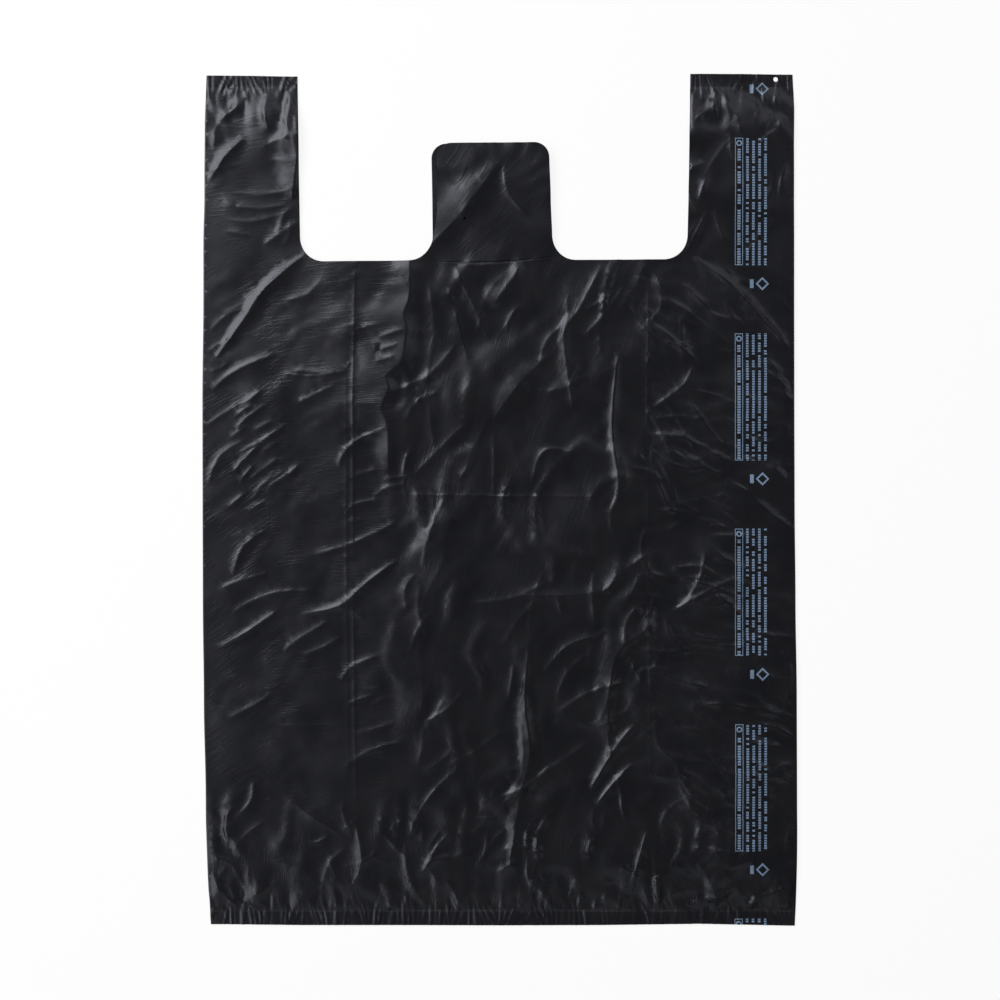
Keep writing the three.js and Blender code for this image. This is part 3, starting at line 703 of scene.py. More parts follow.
def front_points(rows, placed, strewn_creases):
    """Corners of the front wall's mesh: its rim first, then what needs the most detail."""
    rim = [(side * EDGE, y) for y in rows for side in (-1, 1)]
    rim_rows = np.arange(-TOP + 2, TOP, RIM_STEP)
    beside_rim = [(side * (EDGE - RIM_INSET), y) for y in rim_rows for side in (-1, 1)]
    ends = [(x, y) for y in (-TOP, TOP) for x in seal_places(SEAL_STEP) if on_film(x, y)]
    seals = [
        (x, seal - side * row)
        for seal, side in ((BOTTOM_SEAL, -1), (HANDLE_SEAL, 1))
        for row in SEAL_ROWS
        for x in seal_places(SEAL_STEP if abs(row) < FINE_SEAL_ROWS else 1.7 * SEAL_STEP)
    ]
    crests, sides, fine = [], [], []
    for crease in [*placed, *(c for c in strewn_creases if c.height > LEAST_CREST)]:
        line, beside = crease.mesh_points()
        (crests if crease.steep > CREST_SIDE else fine).extend(line)
        (sides if crease.steep > CREST_SIDE else fine).extend(beside)
    inner = [
        (beside_rim, 0.5),
        (seals, 0.7),
        (fine, 0.5),
        (crests, 1.2),
        (sides, 0.85),
        (open_points(), 1.9),
    ]
    inner = [([(x, y) for x, y in points if well_inside(x, y)], gap) for points, gap in inner]
    return spaced([(rim, 0), (ends, 0), *inner])


def folded_section():
    """Section of the side folds and the back wall, from the front wall's right edge round to its
    left edge: each point's place on the outer skin and on the inner skin, across and up."""
    large, small = PITCH / 2 + FILM / 2, PITCH / 2 - FILM / 2
    edge = HALF - large
    middle = HALF - GUSSET + large

    def arc(side, x, level, outer, inner):
        turn = np.sign(inner - outer) * np.pi
        angles = math.pi / 2 + turn * np.arange(ARC_FACETS + 1) / ARC_FACETS
        z = (level + 0.5) * PITCH + FILM / 2
        radii = (outer, inner)
        return [[(side * (x + r * math.cos(a)), z + r * math.sin(a)) for r in radii] for a in angles]

    def run(start, end, step):
        start, end = np.array(start), np.array(end)
        count = max(1, round(abs(end[0, 0] - start[0, 0]) / step))
        return [start + (end - start) * i / count for i in range(1, count)]

    def side_section(side):
        folds = [
            arc(side, edge, 2, large, small),
            arc(side, middle, 1, small, large),
            arc(side, edge, 0, large, small),
        ]
        section = list(folds[0])
        for fold, next_fold in zip(folds, folds[1:]):
            section += [*run(fold[-1], next_fold[0], LEAF_STEP), *next_fold]
        return section

    right, left = side_section(1), side_section(-1)[::-1]
    return [np.array(p) for p in [*right, *run(right[-1], left[0], BACK_STEP), *left]]


def front_wall(rows, placed, strewn_creases):
    """The front wall's corners across and up, and its triangles, counterclockwise from above."""
    points = front_points(rows, placed, strewn_creases)
    places = [Vector(point) for point in points]
    _, _, triangles, origins, _, _ = geometry.delaunay_2d_cdt(places, [], [], 0, 1e-6)
    flat = np.array(points)[[origin[0] for origin in origins]]
    turned = []
    for a, b, c in triangles:
        turn = np.cross(flat[b] - flat[a], flat[c] - flat[a])
        turned.append((a, b, c) if turn > 0 else (a, c, b))
    return flat, turned


def film_tube(placed, strewn_creases):
    """The film tube, folded flat and not yet cut, as corners and faces."""
    rows = side_rows()
    flat, triangles = front_wall(rows, placed, strewn_creases)
    count = len(flat)
    corners = [np.column_stack([flat, np.full(count, z)]) for z in (FRONT_TOP, FRONT_TOP - FILM)]
    faces = []
    for a, b, c in triangles:
        faces += [(a, b, c), (c + count, b + count, a + count)]

    fold = folded_section()[1:-1]
    on_rim = {(round(x, 4), round(y, 4)): n for n, (x, y) in enumerate(flat)}
    number = 2 * count
    rings = []
    for y in rows:
        outer = [on_rim[round(EDGE, 4), round(y, 4)]]
        inner = [outer[0] + count]
        for place in fold:
            corners.append([[place[0, 0], y, place[0, 1]], [place[1, 0], y, place[1, 1]]])
            outer.append(number)
            inner.append(number + 1)
            number += 2
        outer.append(on_rim[round(-EDGE, 4), round(y, 4)])
        inner.append(outer[-1] + count)
        rings.append((outer, inner))
    for (outer, inner), (next_outer, next_inner) in zip(rings, rings[1:]):
        for i in range(len(outer) - 1):
            faces.append((outer[i], outer[i + 1], next_outer[i + 1], next_outer[i]))
            faces.append((next_inner[i], next_inner[i + 1], inner[i + 1], inner[i]))
    for ring, y, forward in ((rings[0], -TOP, True), (rings[-1], TOP, False)):
        front = [n for n in range(count) if abs(flat[n, 1] - y) < 1e-4]
        front.sort(key=lambda n: flat[n, 0])
        outer = [*front, *ring[0][1:-1]]
        inner = [*(n + count for n in front), *ring[1][1:-1]]
        for i in range(len(outer)):
            j = (i + 1) % len(outer)
            quad = (outer[i], inner[i], inner[j], outer[j])
            faces.append(quad if forward else quad[::-1])
    return np.vstack([np.array(part).reshape(-1, 3) for part in corners]), faces


def mesh_object(name, corners, faces):
    """An object in the scene, with a mesh of these corners and faces."""
    mesh = bpy.data.meshes.new(name)
    faces = [tuple(int(corner) for corner in face) for face in faces]
    mesh.from_pydata(np.asarray(corners, float).tolist(), [], faces)
    mesh.update()
    made = bpy.data.objects.new(name, mesh)
    bpy.context.scene.collection.objects.link(made)
    return made


def prism(outline, low=CUTTER_LOW):
    """A closed prism from a height up, on an outline that runs counterclockwise."""
    count = len(outline)
    corners = [(x, y, z) for z in (low, CUTTER_HIGH) for x, y in outline]
    sides = [(i, (i + 1) % count, (i + 1) % count + count, i + count) for i in range(count)]
    return mesh_object("cutter", corners, [range(count)[::-1], range(count, 2 * count), *sides])


def arc_points(x, y, radius, start, end, steps=14):
    """Points on an arc, from one angle to another in degrees."""
    angles = np.radians(np.linspace(start, end, steps + 1))
    return [(x + radius * math.cos(a), y + radius * math.sin(a)) for a in angles]


def placed_by_die(points):
    """Points about the middle of the mouth's floor, turned and placed as the die was."""
    c, s = math.cos(DIE_TURN), math.sin(DIE_TURN)
    return [(MOUTH_OFFSET + x * c - y * s, MOUTH_FLOOR + x * s + y * c) for x, y in points]


def mouth_outline():
    """Outline of the cut-out between the handles, which goes round the tab."""
    side = MOUTH_WIDTH / 2
    ceiling = MOUTH_DEPTH + CUTTER_BEYOND
    left, right = TAB_OFFSET - TAB_WIDTH / 2, TAB_OFFSET + TAB_WIDTH / 2
    r, t = MOUTH_CORNER, TAB_CORNER
    return placed_by_die(
        [
            (-side, ceiling),
            *arc_points(-side + r, r, r, 180, 270),
            *arc_points(left - r, r, r, 270, 360),
            *arc_points(left + t, TAB_HEIGHT - t, t, 180, 90),
            *arc_points(right - t, TAB_HEIGHT - t, t, 90, 0),
            *arc_points(right + r, r, r, 180, 270),
            *arc_points(side - r, r, r, 270, 360),
            (side, ceiling),
        ]
    )


def slit_outline():
    """Outline of the curved slit at the tab's foot, widest in its middle."""
    left = TAB_OFFSET - TAB_WIDTH / 2 - MOUTH_CORNER + SLIT_BRIDGES[0]
    right = TAB_OFFSET + TAB_WIDTH / 2 + MOUTH_CORNER - SLIT_BRIDGES[1]
    t = np.linspace(0, 1, 21)
    x = left + t * (right - left)
    y = -2 * SLIT_SAG * t * (1 - t) + SLIT_RISE * t**2
    width = SLIT_WIDTHS[0] + SLIT_WIDTHS[1] * np.sin(np.pi * t)
    return placed_by_die([*zip(x, y - width / 2), *zip(x[::-1], (y + width / 2)[::-1])])


def cut(piece, cutter):
    """Cuts a piece by a cutter, and deletes the cutter."""
    modifier = piece.modifiers.new("cut", "BOOLEAN")
    modifier.operation, modifier.solver, modifier.object = "DIFFERENCE", "MANIFOLD", cutter
    settle(piece)
    bpy.data.objects.remove(cutter)


def settle(piece):
    """Makes a piece's modifiers part of its mesh."""
    evaluated = piece.evaluated_get(bpy.context.evaluated_depsgraph_get())
    mesh = bpy.data.meshes.new_from_object(evaluated)
    piece.modifiers.clear()
    piece.data = mesh


def drawn_in(x, y):
    """The film's place across, once the gathers at both ends have drawn its side folds in."""
    total = np.zeros(len(x))
    for (side, end), amount in DRAWN_IN.items():
        near_end = np.clip(1 - (TOP - end * y) / DRAW_IN, 0, None)
        total += amount * near_end**2 * (x * side > 0)
    return x - np.sign(x) * total * (np.abs(x) / HALF) ** 4


def tab_slid(x, y):
    """How far the front wall of the tab has slid to the right, most at its left side."""
    left = MOUTH_OFFSET + TAB_OFFSET - TAB_WIDTH / 2
    across = smooth_step(1 - (x - left) / SLIDE_WIDTH)
    up = smooth_step((y - MOUTH_FLOOR - SLIDE_START) / SLIDE_GROWTH)
    return TAB_SLIDE * across * up * (np.abs(x - left - TAB_WIDTH / 2) < TAB_WIDTH / 2 + 3)


def swayed(x, y):
    """How far each place of the film lies from its straight outline, across and up."""
    rows = np.array([row for _, *row in SWAY])
    marks = np.array([mark for mark, *_ in SWAY])
    across = np.array([np.interp(x, SWAY_ACROSS, row) for row in rows])
    place = np.interp(y, marks, np.arange(len(marks)))
    low = np.clip(place.astype(int), 0, len(marks) - 2)
    share = smooth_step(place - low)
    here = np.arange(len(x))
    sideways = across[low, here] * (1 - share) + across[low + 1, here] * share
    up = np.interp(x, *TOP_SWAY) * smooth_step((y - TOP_SWAY_START) / TOP_SWAY_GROWTH)
    down = np.interp(x, *BOTTOM_SWAY) * smooth_step((-y - BOTTOM_SWAY_START) / BOTTOM_SWAY_GROWTH)
    return sideways, up + down


def lay(flat, creases):
    """The corners of the flat, cut film, each moved to where the film lies."""
    x, y, z = flat.T
    level = z / PITCH
    beside_seal = np.minimum(np.abs(y - BOTTOM_SEAL), np.abs(y - HANDLE_SEAL))
    open_share = smooth_step((beside_seal - 1) / PINCH_REACH)
    pitch = PINCHED_PITCH + (PITCH - PINCHED_PITCH) * open_share
    on_front = np.clip((level - 2.6) / 0.3, 0, 1)
    is_front = on_front > 0
    height = np.zeros(len(x))
    height[is_front] = front_relief(x[is_front], y[is_front], creases)
    inside = smooth_step((HALF - np.abs(x)) / SLACK_FADE)
    slack = SLACK * (1 + soft_noise(x, y, SLACK_SIZE, SLACK_SEED)) * inside * open_share
    lifted = level * pitch + on_front * height + (1 - on_front) * slack
    sideways, upwards = swayed(x, y)
    across = drawn_in(x, y) + on_front * tab_slid(x, y) + sideways
    return np.column_stack([across, y + upwards, lifted])


def add_bake_map(mesh, flat):
    """A UV map that gives the front wall's outer skin most of the picture, and the other skins
    smaller places at its right."""
    skins = [level * PITCH + side for level in range(4) for side in (0, FILM)]
    tiles = np.array([BACK_TILE, *LEAF_TILES, FRONT_TILE])
    layer = mesh.uv_layers.new(name="OFBake")
    counts = np.zeros(len(mesh.polygons), int)
    mesh.polygons.foreach_get("loop_total", counts)
    corner = np.zeros(len(mesh.loops), int)
    mesh.loops.foreach_get("vertex_index", corner)
    face = np.repeat(np.arange(len(counts)), counts)
    middle = np.bincount(face, flat[corner, 2]) / counts
    tile = tiles[np.abs(middle[:, None] - np.array(skins)).argmin(1)[face]]
    scale = tile[:, 2] / (2 * TOP)
    u = tile[:, 0] + (flat[corner, 0] + HALF) * scale
    v = tile[:, 1] + (flat[corner, 1] + TOP) * scale
    layer.data.foreach_set("uv", np.column_stack([u, v]).ravel())


def operator(operation, swapped=False):
    """A method that adds a Math node for one of Python's operators."""

    def method(self, other):
        return self.math(operation, *((other, self) if swapped else (self, other)))

    return method


class Socket:
    """An output of a node, on which Python's operators add Math nodes."""

    def __init__(self, nodes, socket):
        self.nodes, self.socket = nodes, socket

    def math(self, operation, *values):
        """The output of a new Math node that takes these values."""
        inputs = dict(enumerate(values))
        return self.nodes.add("ShaderNodeMath", {"operation": operation}, inputs)

    __add__, __radd__ = operator("ADD"), operator("ADD", swapped=True)
    __sub__, __rsub__ = operator("SUBTRACT"), operator("SUBTRACT", swapped=True)
    __mul__, __rmul__ = operator("MULTIPLY"), operator("MULTIPLY", swapped=True)
    __truediv__, __rtruediv__ = operator("DIVIDE"), operator("DIVIDE", swapped=True)
    __pow__, __mod__ = operator("POWER"), operator("FLOORED_MODULO")
    __gt__, __lt__ = operator("GREATER_THAN"), operator("LESS_THAN")
    maximum, minimum = operator("MAXIMUM"), operator("MINIMUM")

    def __abs__(self):
        return self.math("ABSOLUTE", self)

    def floored(self):
        """The whole number at or below the value."""
        return self.math("FLOOR", self)

    def clamped(self):
        """The value, kept from 0 to 1."""
        return self.maximum(0).minimum(1)

    def stepped(self, low, high):
        """0 below low, 1 above high, and smooth between."""
        inputs = {"Value": self, "From Min": low, "From Max": high}
        return self.nodes.add("ShaderNodeMapRange", {"interpolation_type": "SMOOTHSTEP"}, inputs)

    def other(self, name):
        """Another output of the same node."""
        return Socket(self.nodes, self.socket.node.outputs[name])


class Nodes:
    """Adds nodes to a tree."""

    def __init__(self, tree):
        self.tree = tree

    def add(self, kind, settings=None, inputs=None, output=0):
        """A new node with its settings, then its inputs' values or links; gives one output."""
        node = self.tree.nodes.new(kind)
        for name, value in (settings or {}).items():
            setattr(node, name, value)
        for key, value in (inputs or {}).items():
            if isinstance(value, Socket):
                self.tree.links.new(value.socket, node.inputs[key])
            else:
                node.inputs[key].default_value = value
        return Socket(self, node.outputs[output]) if len(node.outputs) else node


def opaque(tint):
    """A colour with full alpha."""
    return (*tint, 1)


def mixed(nodes, share, first, second):
    """A colour between two."""
    return nodes.add("ShaderNodeMix", {"data_type": "RGBA"}, {0: share, 6: first, 7: second}, 2)


def noise(nodes, inputs, **settings):
    """A noise texture's value."""
    return nodes.add("ShaderNodeTexNoise", settings, inputs)


def new_material(name):
    """An empty material, and its nodes."""
    material = bpy.data.materials.new(name)
    material.use_nodes = True
    material.node_tree.nodes.clear()
    return material, Nodes(material.node_tree)


def fine_streaks(nodes, place, x, y, patch, seed, zone):
    """Height of fine ripples side by side over one zone, in metres."""
    box, direction, along, across, height = zone
    inputs = {
        "Vector": place,
        "Location": (0.37 * seed, 0.61 * seed, 0),
        "Rotation": (0, 0, math.radians(direction)),
        "Scale": (along * MM, across * MM, 1),
    }
    turned = nodes.add("ShaderNodeMapping", {"vector_type": "TEXTURE"}, inputs)
    inputs = {"Vector": turned, "Scale": 1.0, "Detail": 0.5, "Roughness": 0.5, "Distortion": 0.25}
    waves = noise(nodes, inputs, noise_dimensions="2D")
    ridge = (1 - abs(waves - 0.5) * RIPPLE_SHARPNESS).maximum(0)
    x0, y0, x1, y1 = box
    fade = BOX_FADE / 2
    inside = (
        x.stepped(x0 - fade, x0 + fade)
        * (1 - x.stepped(x1 - fade, x1 + fade))
        * y.stepped(y0 - fade, y0 + fade)
        * (1 - y.stepped(y1 - fade, y1 + fade))
    )
    return ridge * inside * patch * (height * MM)


def print_mask(nodes, x, y):
    """Where the pale ink is: along the right side, blocks of dashed rows beside a pale band, each
    followed by a plain diamond and a short bar."""
    start, period, block, row_start, row_pitch, row_height, rows = PRINT
    passed = (start - y) % period
    row_place = (x - row_start) / row_pitch
    row = row_place.floored()
    cell = (y / PRINT_CELL).floored()

    def inked(row):
        vector = nodes.add("ShaderNodeCombineXYZ", None, {0: cell, 1: row, 2: 0.5})
        value = nodes.add("ShaderNodeTexWhiteNoise", {"noise_dimensions": "3D"}, {"Vector": vector})
        return value < INKED_SHARE

    in_block = passed < block
    in_rows = (row_place > 0) * (row_place < rows)
    dashes = in_block * in_rows * (row_place % 1 < row_height) * inked(row)
    dashes = dashes * (y / PRINT_CELL % 1 < DASH_SHARE)
    band_low, band_high = PRINT_BAND
    in_band = (x > band_low) * (x < band_high)
    across = x - (band_low + band_high) / 2
    ring = (across * across + (passed - RING_PLACE) * (passed - RING_PLACE)) ** 0.5
    ring = (ring < RING_RADII[0]) * (ring > RING_RADII[1])
    lines = (abs(across) > BAND_FRAME).maximum(passed < BAND_LINE).maximum(passed > block - BAND_LINE)
    dots = (abs(across) < BAND_DASH[0]) * (passed > BAND_DASH[1]) * inked(9)
    dots = dots * (y / PRINT_CELL % 1 < DASH_SHARE)
    band = in_block * in_band * lines.maximum(dots).maximum(ring)
    mark_x, mark_from, mark_size, bar_x = PRINT_MARK
    diamond = abs(x - mark_x) + abs(passed - mark_from)
    diamond = (diamond < mark_size) * (diamond > mark_size - DIAMOND_LINE)
    bar = (abs(x - bar_x) < BAR_SIZE[0]) * (abs(passed - mark_from) < BAR_SIZE[1])
    return dashes.maximum(band).maximum(diamond).maximum(bar)


def film_material(settings):
    """Thin glossy film: dark, cloudy in gloss, finely rippled, paler beside its seals, and
    printed along its right side."""
    material, nodes = new_material("film")
    place = nodes.add("ShaderNodeTexCoord", output="Object")
    x = nodes.add("ShaderNodeSeparateXYZ", None, {"Vector": place}, "X")
    y = x.other("Y") / MM
    x = x / MM
    outside = nodes.add("ShaderNodeAttribute", {"attribute_name": "outside"}, output="Fac")
    base = {"Vector": place, "Detail": 3.0}
    cloud = noise(nodes, {**base, "Scale": CLOUD_SCALE})
    patch = noise(nodes, {**base, "Scale": PATCH_SCALE, "Detail": 1.0})
    patch = 0.1 + 0.9 * patch.stepped(0.4, 0.64)
    crumple = noise(nodes, {**base, "Scale": CRUMPLE_SCALE}, noise_type="RIDGED_MULTIFRACTAL")
    height = crumple * (CRUMPLE_HEIGHT * MM)
    for n, zone in enumerate(FINE_STREAKS):
        height = height + fine_streaks(nodes, place, x, y, patch, n + 1, zone)
    bump = nodes.add("ShaderNodeBump", None, {"Strength": 1.0, "Distance": 1.0, "Height": height})

    beside_seal = abs(y - BOTTOM_SEAL).minimum(abs(y - HANDLE_SEAL))
    scuff = (1 - beside_seal / SCUFF_REACH).maximum(0) * cloud.stepped(0.35, 0.7)
    clear, cloudy = opaque(settings.film_colour), opaque(settings.film_shade)
    film = mixed(nodes, cloud.stepped(0.3, 0.7), clear, cloudy)
    film = mixed(nodes, scuff * SCUFF_SHARE, film, opaque(settings.scuff_colour))
    wear = 0.8 + 0.35 * cloud.stepped(0.3, 0.65)
    ink = (print_mask(nodes, x, y) * wear * outside).minimum(1)
    printed = mixed(nodes, ink, film, opaque(settings.ink_colour))
    roughness = settings.roughness + (cloud - 0.5) * 0.14 + scuff * 0.15 + ink * 0.08
    inputs = {
        "Base Color": printed,
        "Roughness": roughness,
        "Specular Tint": opaque(settings.sheen_colour),
        "Normal": bump,
    }
    shader = nodes.add("ShaderNodeBsdfPrincipled", None, inputs)
    nodes.add("ShaderNodeOutputMaterial", None, {"Surface": shader})
    return material


def gathers_group():
    """Geometry nodes that gather the film where a seal pinches it: pleats side by side, each with
    its own height and reach, that lean about and die away from the seal."""
    tree = bpy.data.node_groups.new("gathers", "GeometryNodeTree")
    sockets = [("Geometry", "INPUT", "Geometry")]
    sockets += [(name, "INPUT", "Float") for name in GATHER_SIZES]
    sockets += [("Seed", "INPUT", "Int"), ("Material", "INPUT", "Material")]
    for name, side, kind in [*sockets, ("Geometry", "OUTPUT", "Geometry")]:
        tree.interface.new_socket(name, in_out=side, socket_type=f"NodeSocket{kind}")
    nodes = Nodes(tree)
    film = nodes.add("NodeGroupInput")
    pitch, height, reach, skirt, crest, lean, bottom, handle = map(film.other, GATHER_SIZES)
    seed = film.other("Seed")
    x = nodes.add("ShaderNodeSeparateXYZ", None, {0: nodes.add("GeometryNodeInputPosition")}, "X")
    y = x.other("Y")
    share = nodes.add("GeometryNodeInputNamedAttribute", {"data_type": "FLOAT"}, {"Name": "lift"})

    from_bottom, from_handle = y - bottom, handle - y
    inward = from_bottom.minimum(from_handle)
    at_handle = from_handle < from_bottom
    along = x / pitch + at_handle * 500 + seed * 37
    warp = noise(nodes, {"W": along * 0.45, "Scale": 1.0}, noise_dimensions="1D")
    tilt = noise(nodes, {"W": along * 0.17 + 90, "Scale": 1.0}, noise_dimensions="1D")
    along = along + (warp - 0.5) * 2.4 + (tilt - 0.5) * lean * inward / pitch
    number = along.floored()
    part = along - number

    def random(low, high, offset):
        node = nodes.add("FunctionNodeRandomValue", {"data_type": "FLOAT"}, None, "Value")
        inputs = node.socket.node.inputs
        inputs["Min"].default_value, inputs["Max"].default_value = low, high
        tree.links.new((number + offset).socket, inputs["ID"])
        tree.links.new(seed.socket, inputs["Seed"])
        return node

    pleat = (part / crest).minimum((1 - part) / (1 - crest))
    framed = skirt > 0
    rise = 0.5 * framed + (1 - 0.5 * framed) * (inward / (1.2 * pitch)).stepped(-0.15, 1)
    fade = (1 - inward / (reach * random(0.25, 1, 2000))).maximum(0) ** 1.6
    hem = 0.55 - 0.1 * (0 - inward / skirt.maximum(0.0001)).clamped()
    inside = inward > 0
    shape = inside * rise * fade + (1 - inside) * hem * framed
    lifted = pleat * shape * share * height * random(0.3, 1, 0)
    offset = nodes.add("ShaderNodeCombineXYZ", None, {"Z": lifted})
    moved = nodes.add("GeometryNodeSetPosition", None, {"Geometry": film, "Offset": offset})
    real = nodes.add("GeometryNodeRealizeInstances", None, {"Geometry": moved})
    inputs = {"Geometry": real, "Material": film.other("Material")}
    done = nodes.add("GeometryNodeSetMaterial", None, inputs)
    nodes.add("NodeGroupOutput", None, {"Geometry": done})
    return tree


def gather(film, material):
    """Gathers the film at its seals three times: into frills, pleats and larger folds."""
    tree = gathers_group()
    items = [item for item in tree.interface.items_tree if item.in_out == "INPUT"]
    inputs = {item.name: item.identifier for item in items}
    for seed, sizes in enumerate(GATHERS):
        modifier = film.modifiers.new("gathers", "NODES")
        modifier.node_group = tree
        for name, value in zip(GATHER_SIZES, (*sizes, BOTTOM_SEAL * MM, HANDLE_SEAL * MM)):
            modifier[inputs[name]] = value
        modifier[inputs["Seed"]] = seed
        modifier[inputs["Material"]] = material
    settle(film)


def cut_out(film):
    """Cuts the mouth, the slit in the front wall, and both pin holes."""
    cut(film, prism(mouth_outline()))
    cut(film, prism(slit_outline(), (FRONT_LAYER - 0.5) * PITCH))
    radius, from_side, from_top = HANDLE_PIN
    cut(film, prism(arc_points(HALF - from_side, TOP - from_top, radius, 0, 345, 23)))
    radius, from_side, from_top = TAB_PIN
    pin = placed_by_die([(TAB_OFFSET - TAB_WIDTH / 2 + from_side, TAB_HEIGHT - from_top)])[0]
    cut(film, prism(arc_points(*pin, radius, 0, 345, 15)))


def bag_film(settings):
    """The bag's film: a tube that is cut, laid with its creases, gathered and given its look."""
    placed, strewn_creases = all_creases()
    film = mesh_object("bag_film", *film_tube(placed, strewn_creases))
    cut_out(film)
    mesh = film.data
    flat = np.zeros(len(mesh.vertices) * 3)
    mesh.vertices.foreach_get("co", flat)
    flat = flat.reshape(-1, 3)
    add_bake_map(mesh, flat)
    on_front = flat[:, 2] > FRONT_TOP - 1.5 * FILM
    level = np.where(on_front, 1, flat[:, 2] / FRONT_TOP * 0.8)
    for name, values in (("lift", level), ("outside", flat[:, 2] > FRONT_TOP - FILM / 2)):
        attribute = mesh.attributes.new(name, "FLOAT", "POINT")
        attribute.data.foreach_set("value", values.astype(np.float32))
    laid = lay(flat, [*placed, *strewn_creases]) * MM
    mesh.vertices.foreach_set("co", laid.ravel())
    material = film_material(settings)
    gather(film, material)
    mesh = film.data
    mesh.materials.clear()
    mesh.materials.append(material)
    mesh.polygons.foreach_set("material_index", np.zeros(len(mesh.polygons), int))
    mesh.shade_smooth()
    mesh.set_sharp_from_angle(angle=math.radians(75))
    mesh.update()
    return film


def colour(name, description, default):
    """A setting for a colour."""
    return bpy.props.FloatVectorProperty(
        name=name, description=description, subtype="COLOR", size=3, min=0, max=1, default=default
    )


def power(name, place, default):
    """A setting for the power of a lamp."""
    return bpy.props.FloatProperty(
        name=name, description=f"Power of the lamp {place}", unit="POWER", min=0, default=default
    )


class FilmSettings(bpy.types.PropertyGroup):
    """The film and its print."""

    film_colour: colour("Film", "Colour of the film", (0.0052, 0.0054, 0.0072))
    film_shade: colour("Film, cloudy", "Colour of the film's cloudy places", (0.0072, 0.0073, 0.0092))
    scuff_colour: colour(
        "Scuffs", "Colour of the film where heat or wear has dulled it", (0.05, 0.05, 0.056)
    )
    ink_colour: colour("Ink", "Colour of the print", (0.18, 0.26, 0.38))
    sheen_colour: colour("Sheen", "Tint of the film's gloss", (0.88, 0.9, 1.0))
    roughness: bpy.props.FloatProperty(
        name="Roughness",
        description="How blurred the film's gloss is",
        subtype="FACTOR",
        min=0,
        max=1,
        default=0.325,
    )


class StudioSettings(bpy.types.PropertyGroup):
    """The camera, the light and the floor."""

    camera_height: bpy.props.FloatProperty(
        name="Camera height",
        description="Height of the camera above the bag",
        unit="LENGTH",
        min=0.5,
        max=5,
        default=1.621,
    )
    key_power: power("Key light", "at the upper left", 33)
    top_power: power("Top light", "beyond the handles", 6)
    side_power: power("Side light", "at the left", 11)
    fill_power: power("Fill light", "at the right", 3)
    front_power: power("Front light", "beyond the bottom seal", 2)
    surroundings: bpy.props.FloatProperty(
        name="Surroundings", description="Brightness all round", min=0, max=1, default=0.07
    )


class BAG_OT_film(bpy.types.Operator):
    """Build the bag's film."""

    bl_idname = "bag.film"
    bl_label = "Build film"

    def execute(self, context):
        film = bag_film(context.scene.bag_film)
        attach(film, "root")
        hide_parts("carrier_bag")
        return {"FINISHED"}


def add_camera(scene, height):
    """A camera that looks straight down on the bag."""
    camera = bpy.data.objects.new("camera", bpy.data.cameras.new("camera"))
    camera.data.lens, camera.data.sensor_width = LENS, SENSOR
    camera.location = (0, CAMERA_Y, height + MIDDLE_HEIGHT)
    scene.collection.objects.link(camera)
    scene.camera = camera


def area_lamp(name, place, size, watts):
    """An area lamp that points at the middle of the bag."""
    light = bpy.data.lights.new(name, "AREA")
    light.shape, light.size, light.size_y, light.energy = "RECTANGLE", *size, watts
    lamp = bpy.data.objects.new(name, light)
    lamp.location = place
    lamp.rotation_euler = (-Vector(place)).to_track_quat("-Z", "Y").to_euler()
    bpy.context.scene.collection.objects.link(lamp)


def floor_material():
    """White to the camera and in reflections, and matt white to the light."""
    material, nodes = new_material("floor_white")
    path = nodes.add("ShaderNodeLightPath", output="Is Camera Ray")
    seen = path.maximum(path.other("Is Glossy Ray")).maximum(path.other("Is Transmission Ray"))
    matt = nodes.add("ShaderNodeBsdfDiffuse", None, {"Color": FLOOR_COLOUR})
    white = nodes.add("ShaderNodeEmission", None, {"Color": WHITE, "Strength": 1.0})
    inputs = {0: seen * FLOOR_LIGHT, 1: matt, 2: white}
    shader = nodes.add("ShaderNodeMixShader", None, inputs)
    nodes.add("ShaderNodeOutputMaterial", None, {"Surface": shader})
    return material


def add_floor():
    """The white floor that the bag lies on."""
    half = FLOOR_HALF
    corners = [(x, y, FLOOR_Z) for x, y in ((-half, -half), (half, -half), (half, half), (-half, half))]
    floor = mesh_object("floor", corners, [(0, 1, 2, 3)])
    floor.data.materials.append(floor_material())


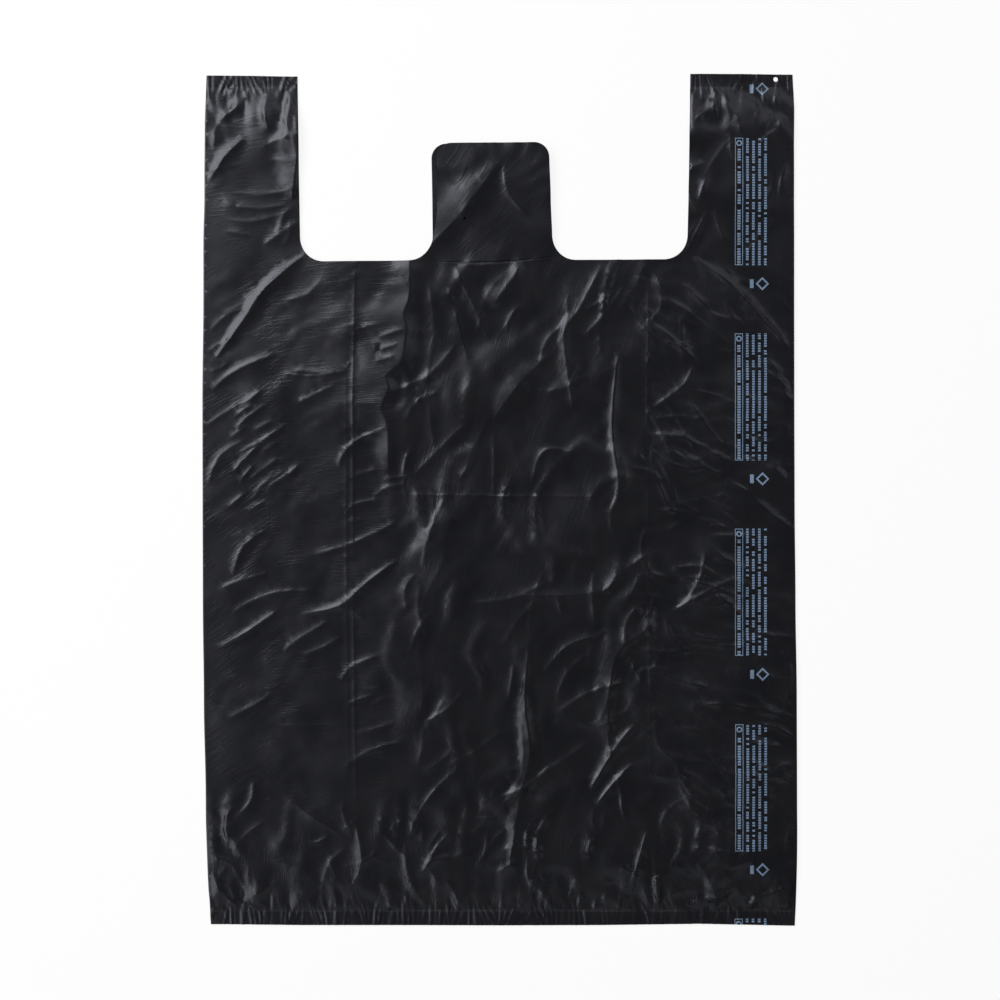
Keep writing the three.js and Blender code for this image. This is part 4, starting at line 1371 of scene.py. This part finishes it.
def new_world(surroundings):
    """Surroundings that light the bag dimly and look white to the camera."""
    world = bpy.data.worlds.new("studio")
    world.use_nodes = True
    world.node_tree.nodes.clear()
    nodes = Nodes(world.node_tree)
    path = nodes.add("ShaderNodeLightPath", output="Is Camera Ray")
    seen = path.maximum(path.other("Is Transmission Ray"))
    strength = surroundings + seen * (1 - surroundings)
    background = nodes.add("ShaderNodeBackground", None, {"Color": WHITE, "Strength": strength})
    nodes.add("ShaderNodeOutputWorld", None, {"Surface": background})
    return world


class BAG_OT_studio(bpy.types.Operator):
    """Set up the camera, the lamps and the floor."""

    bl_idname = "bag.studio"
    bl_label = "Set up studio"

    def execute(self, context):
        scene, settings = context.scene, context.scene.bag_studio
        add_camera(scene, settings.camera_height)
        for name, place, size in LAMPS:
            area_lamp(f"{name}_lamp", place, size, getattr(settings, f"{name}_power"))
        add_floor()
        scene.world = new_world(settings.surroundings)
        scene.view_settings.view_transform = "Standard"
        return {"FINISHED"}


class BAG_PT_panel(bpy.types.Panel):
    """The bag's settings and the steps that build it."""

    bl_idname = "BAG_PT_panel"
    bl_label = "Carrier Bag"
    bl_space_type = "VIEW_3D"
    bl_region_type = "UI"
    bl_category = "Carrier Bag"

    def draw(self, context):
        scene = context.scene
        for settings, step in ((scene.bag_studio, BAG_OT_studio), (scene.bag_film, BAG_OT_film)):
            box = self.layout.box()
            for name in settings.__annotations__:
                box.prop(settings, name)
            box.operator(step.bl_idname)


CLASSES = (FilmSettings, StudioSettings, BAG_OT_film, BAG_OT_studio, BAG_PT_panel)


def register():
    """Registers the classes and their settings."""
    for made in CLASSES:
        bpy.utils.register_class(made)
    bpy.types.Scene.bag_film = bpy.props.PointerProperty(type=FilmSettings)
    bpy.types.Scene.bag_studio = bpy.props.PointerProperty(type=StudioSettings)


def unregister():
    """Takes the classes and their settings away."""
    del bpy.types.Scene.bag_film, bpy.types.Scene.bag_studio
    for made in reversed(CLASSES):
        bpy.utils.unregister_class(made)


def main():
    """Builds the studio and the bag."""
    register()
    bpy.ops.bag.studio()
    bpy.ops.bag.film()


if __name__ == "__main__":
    main()
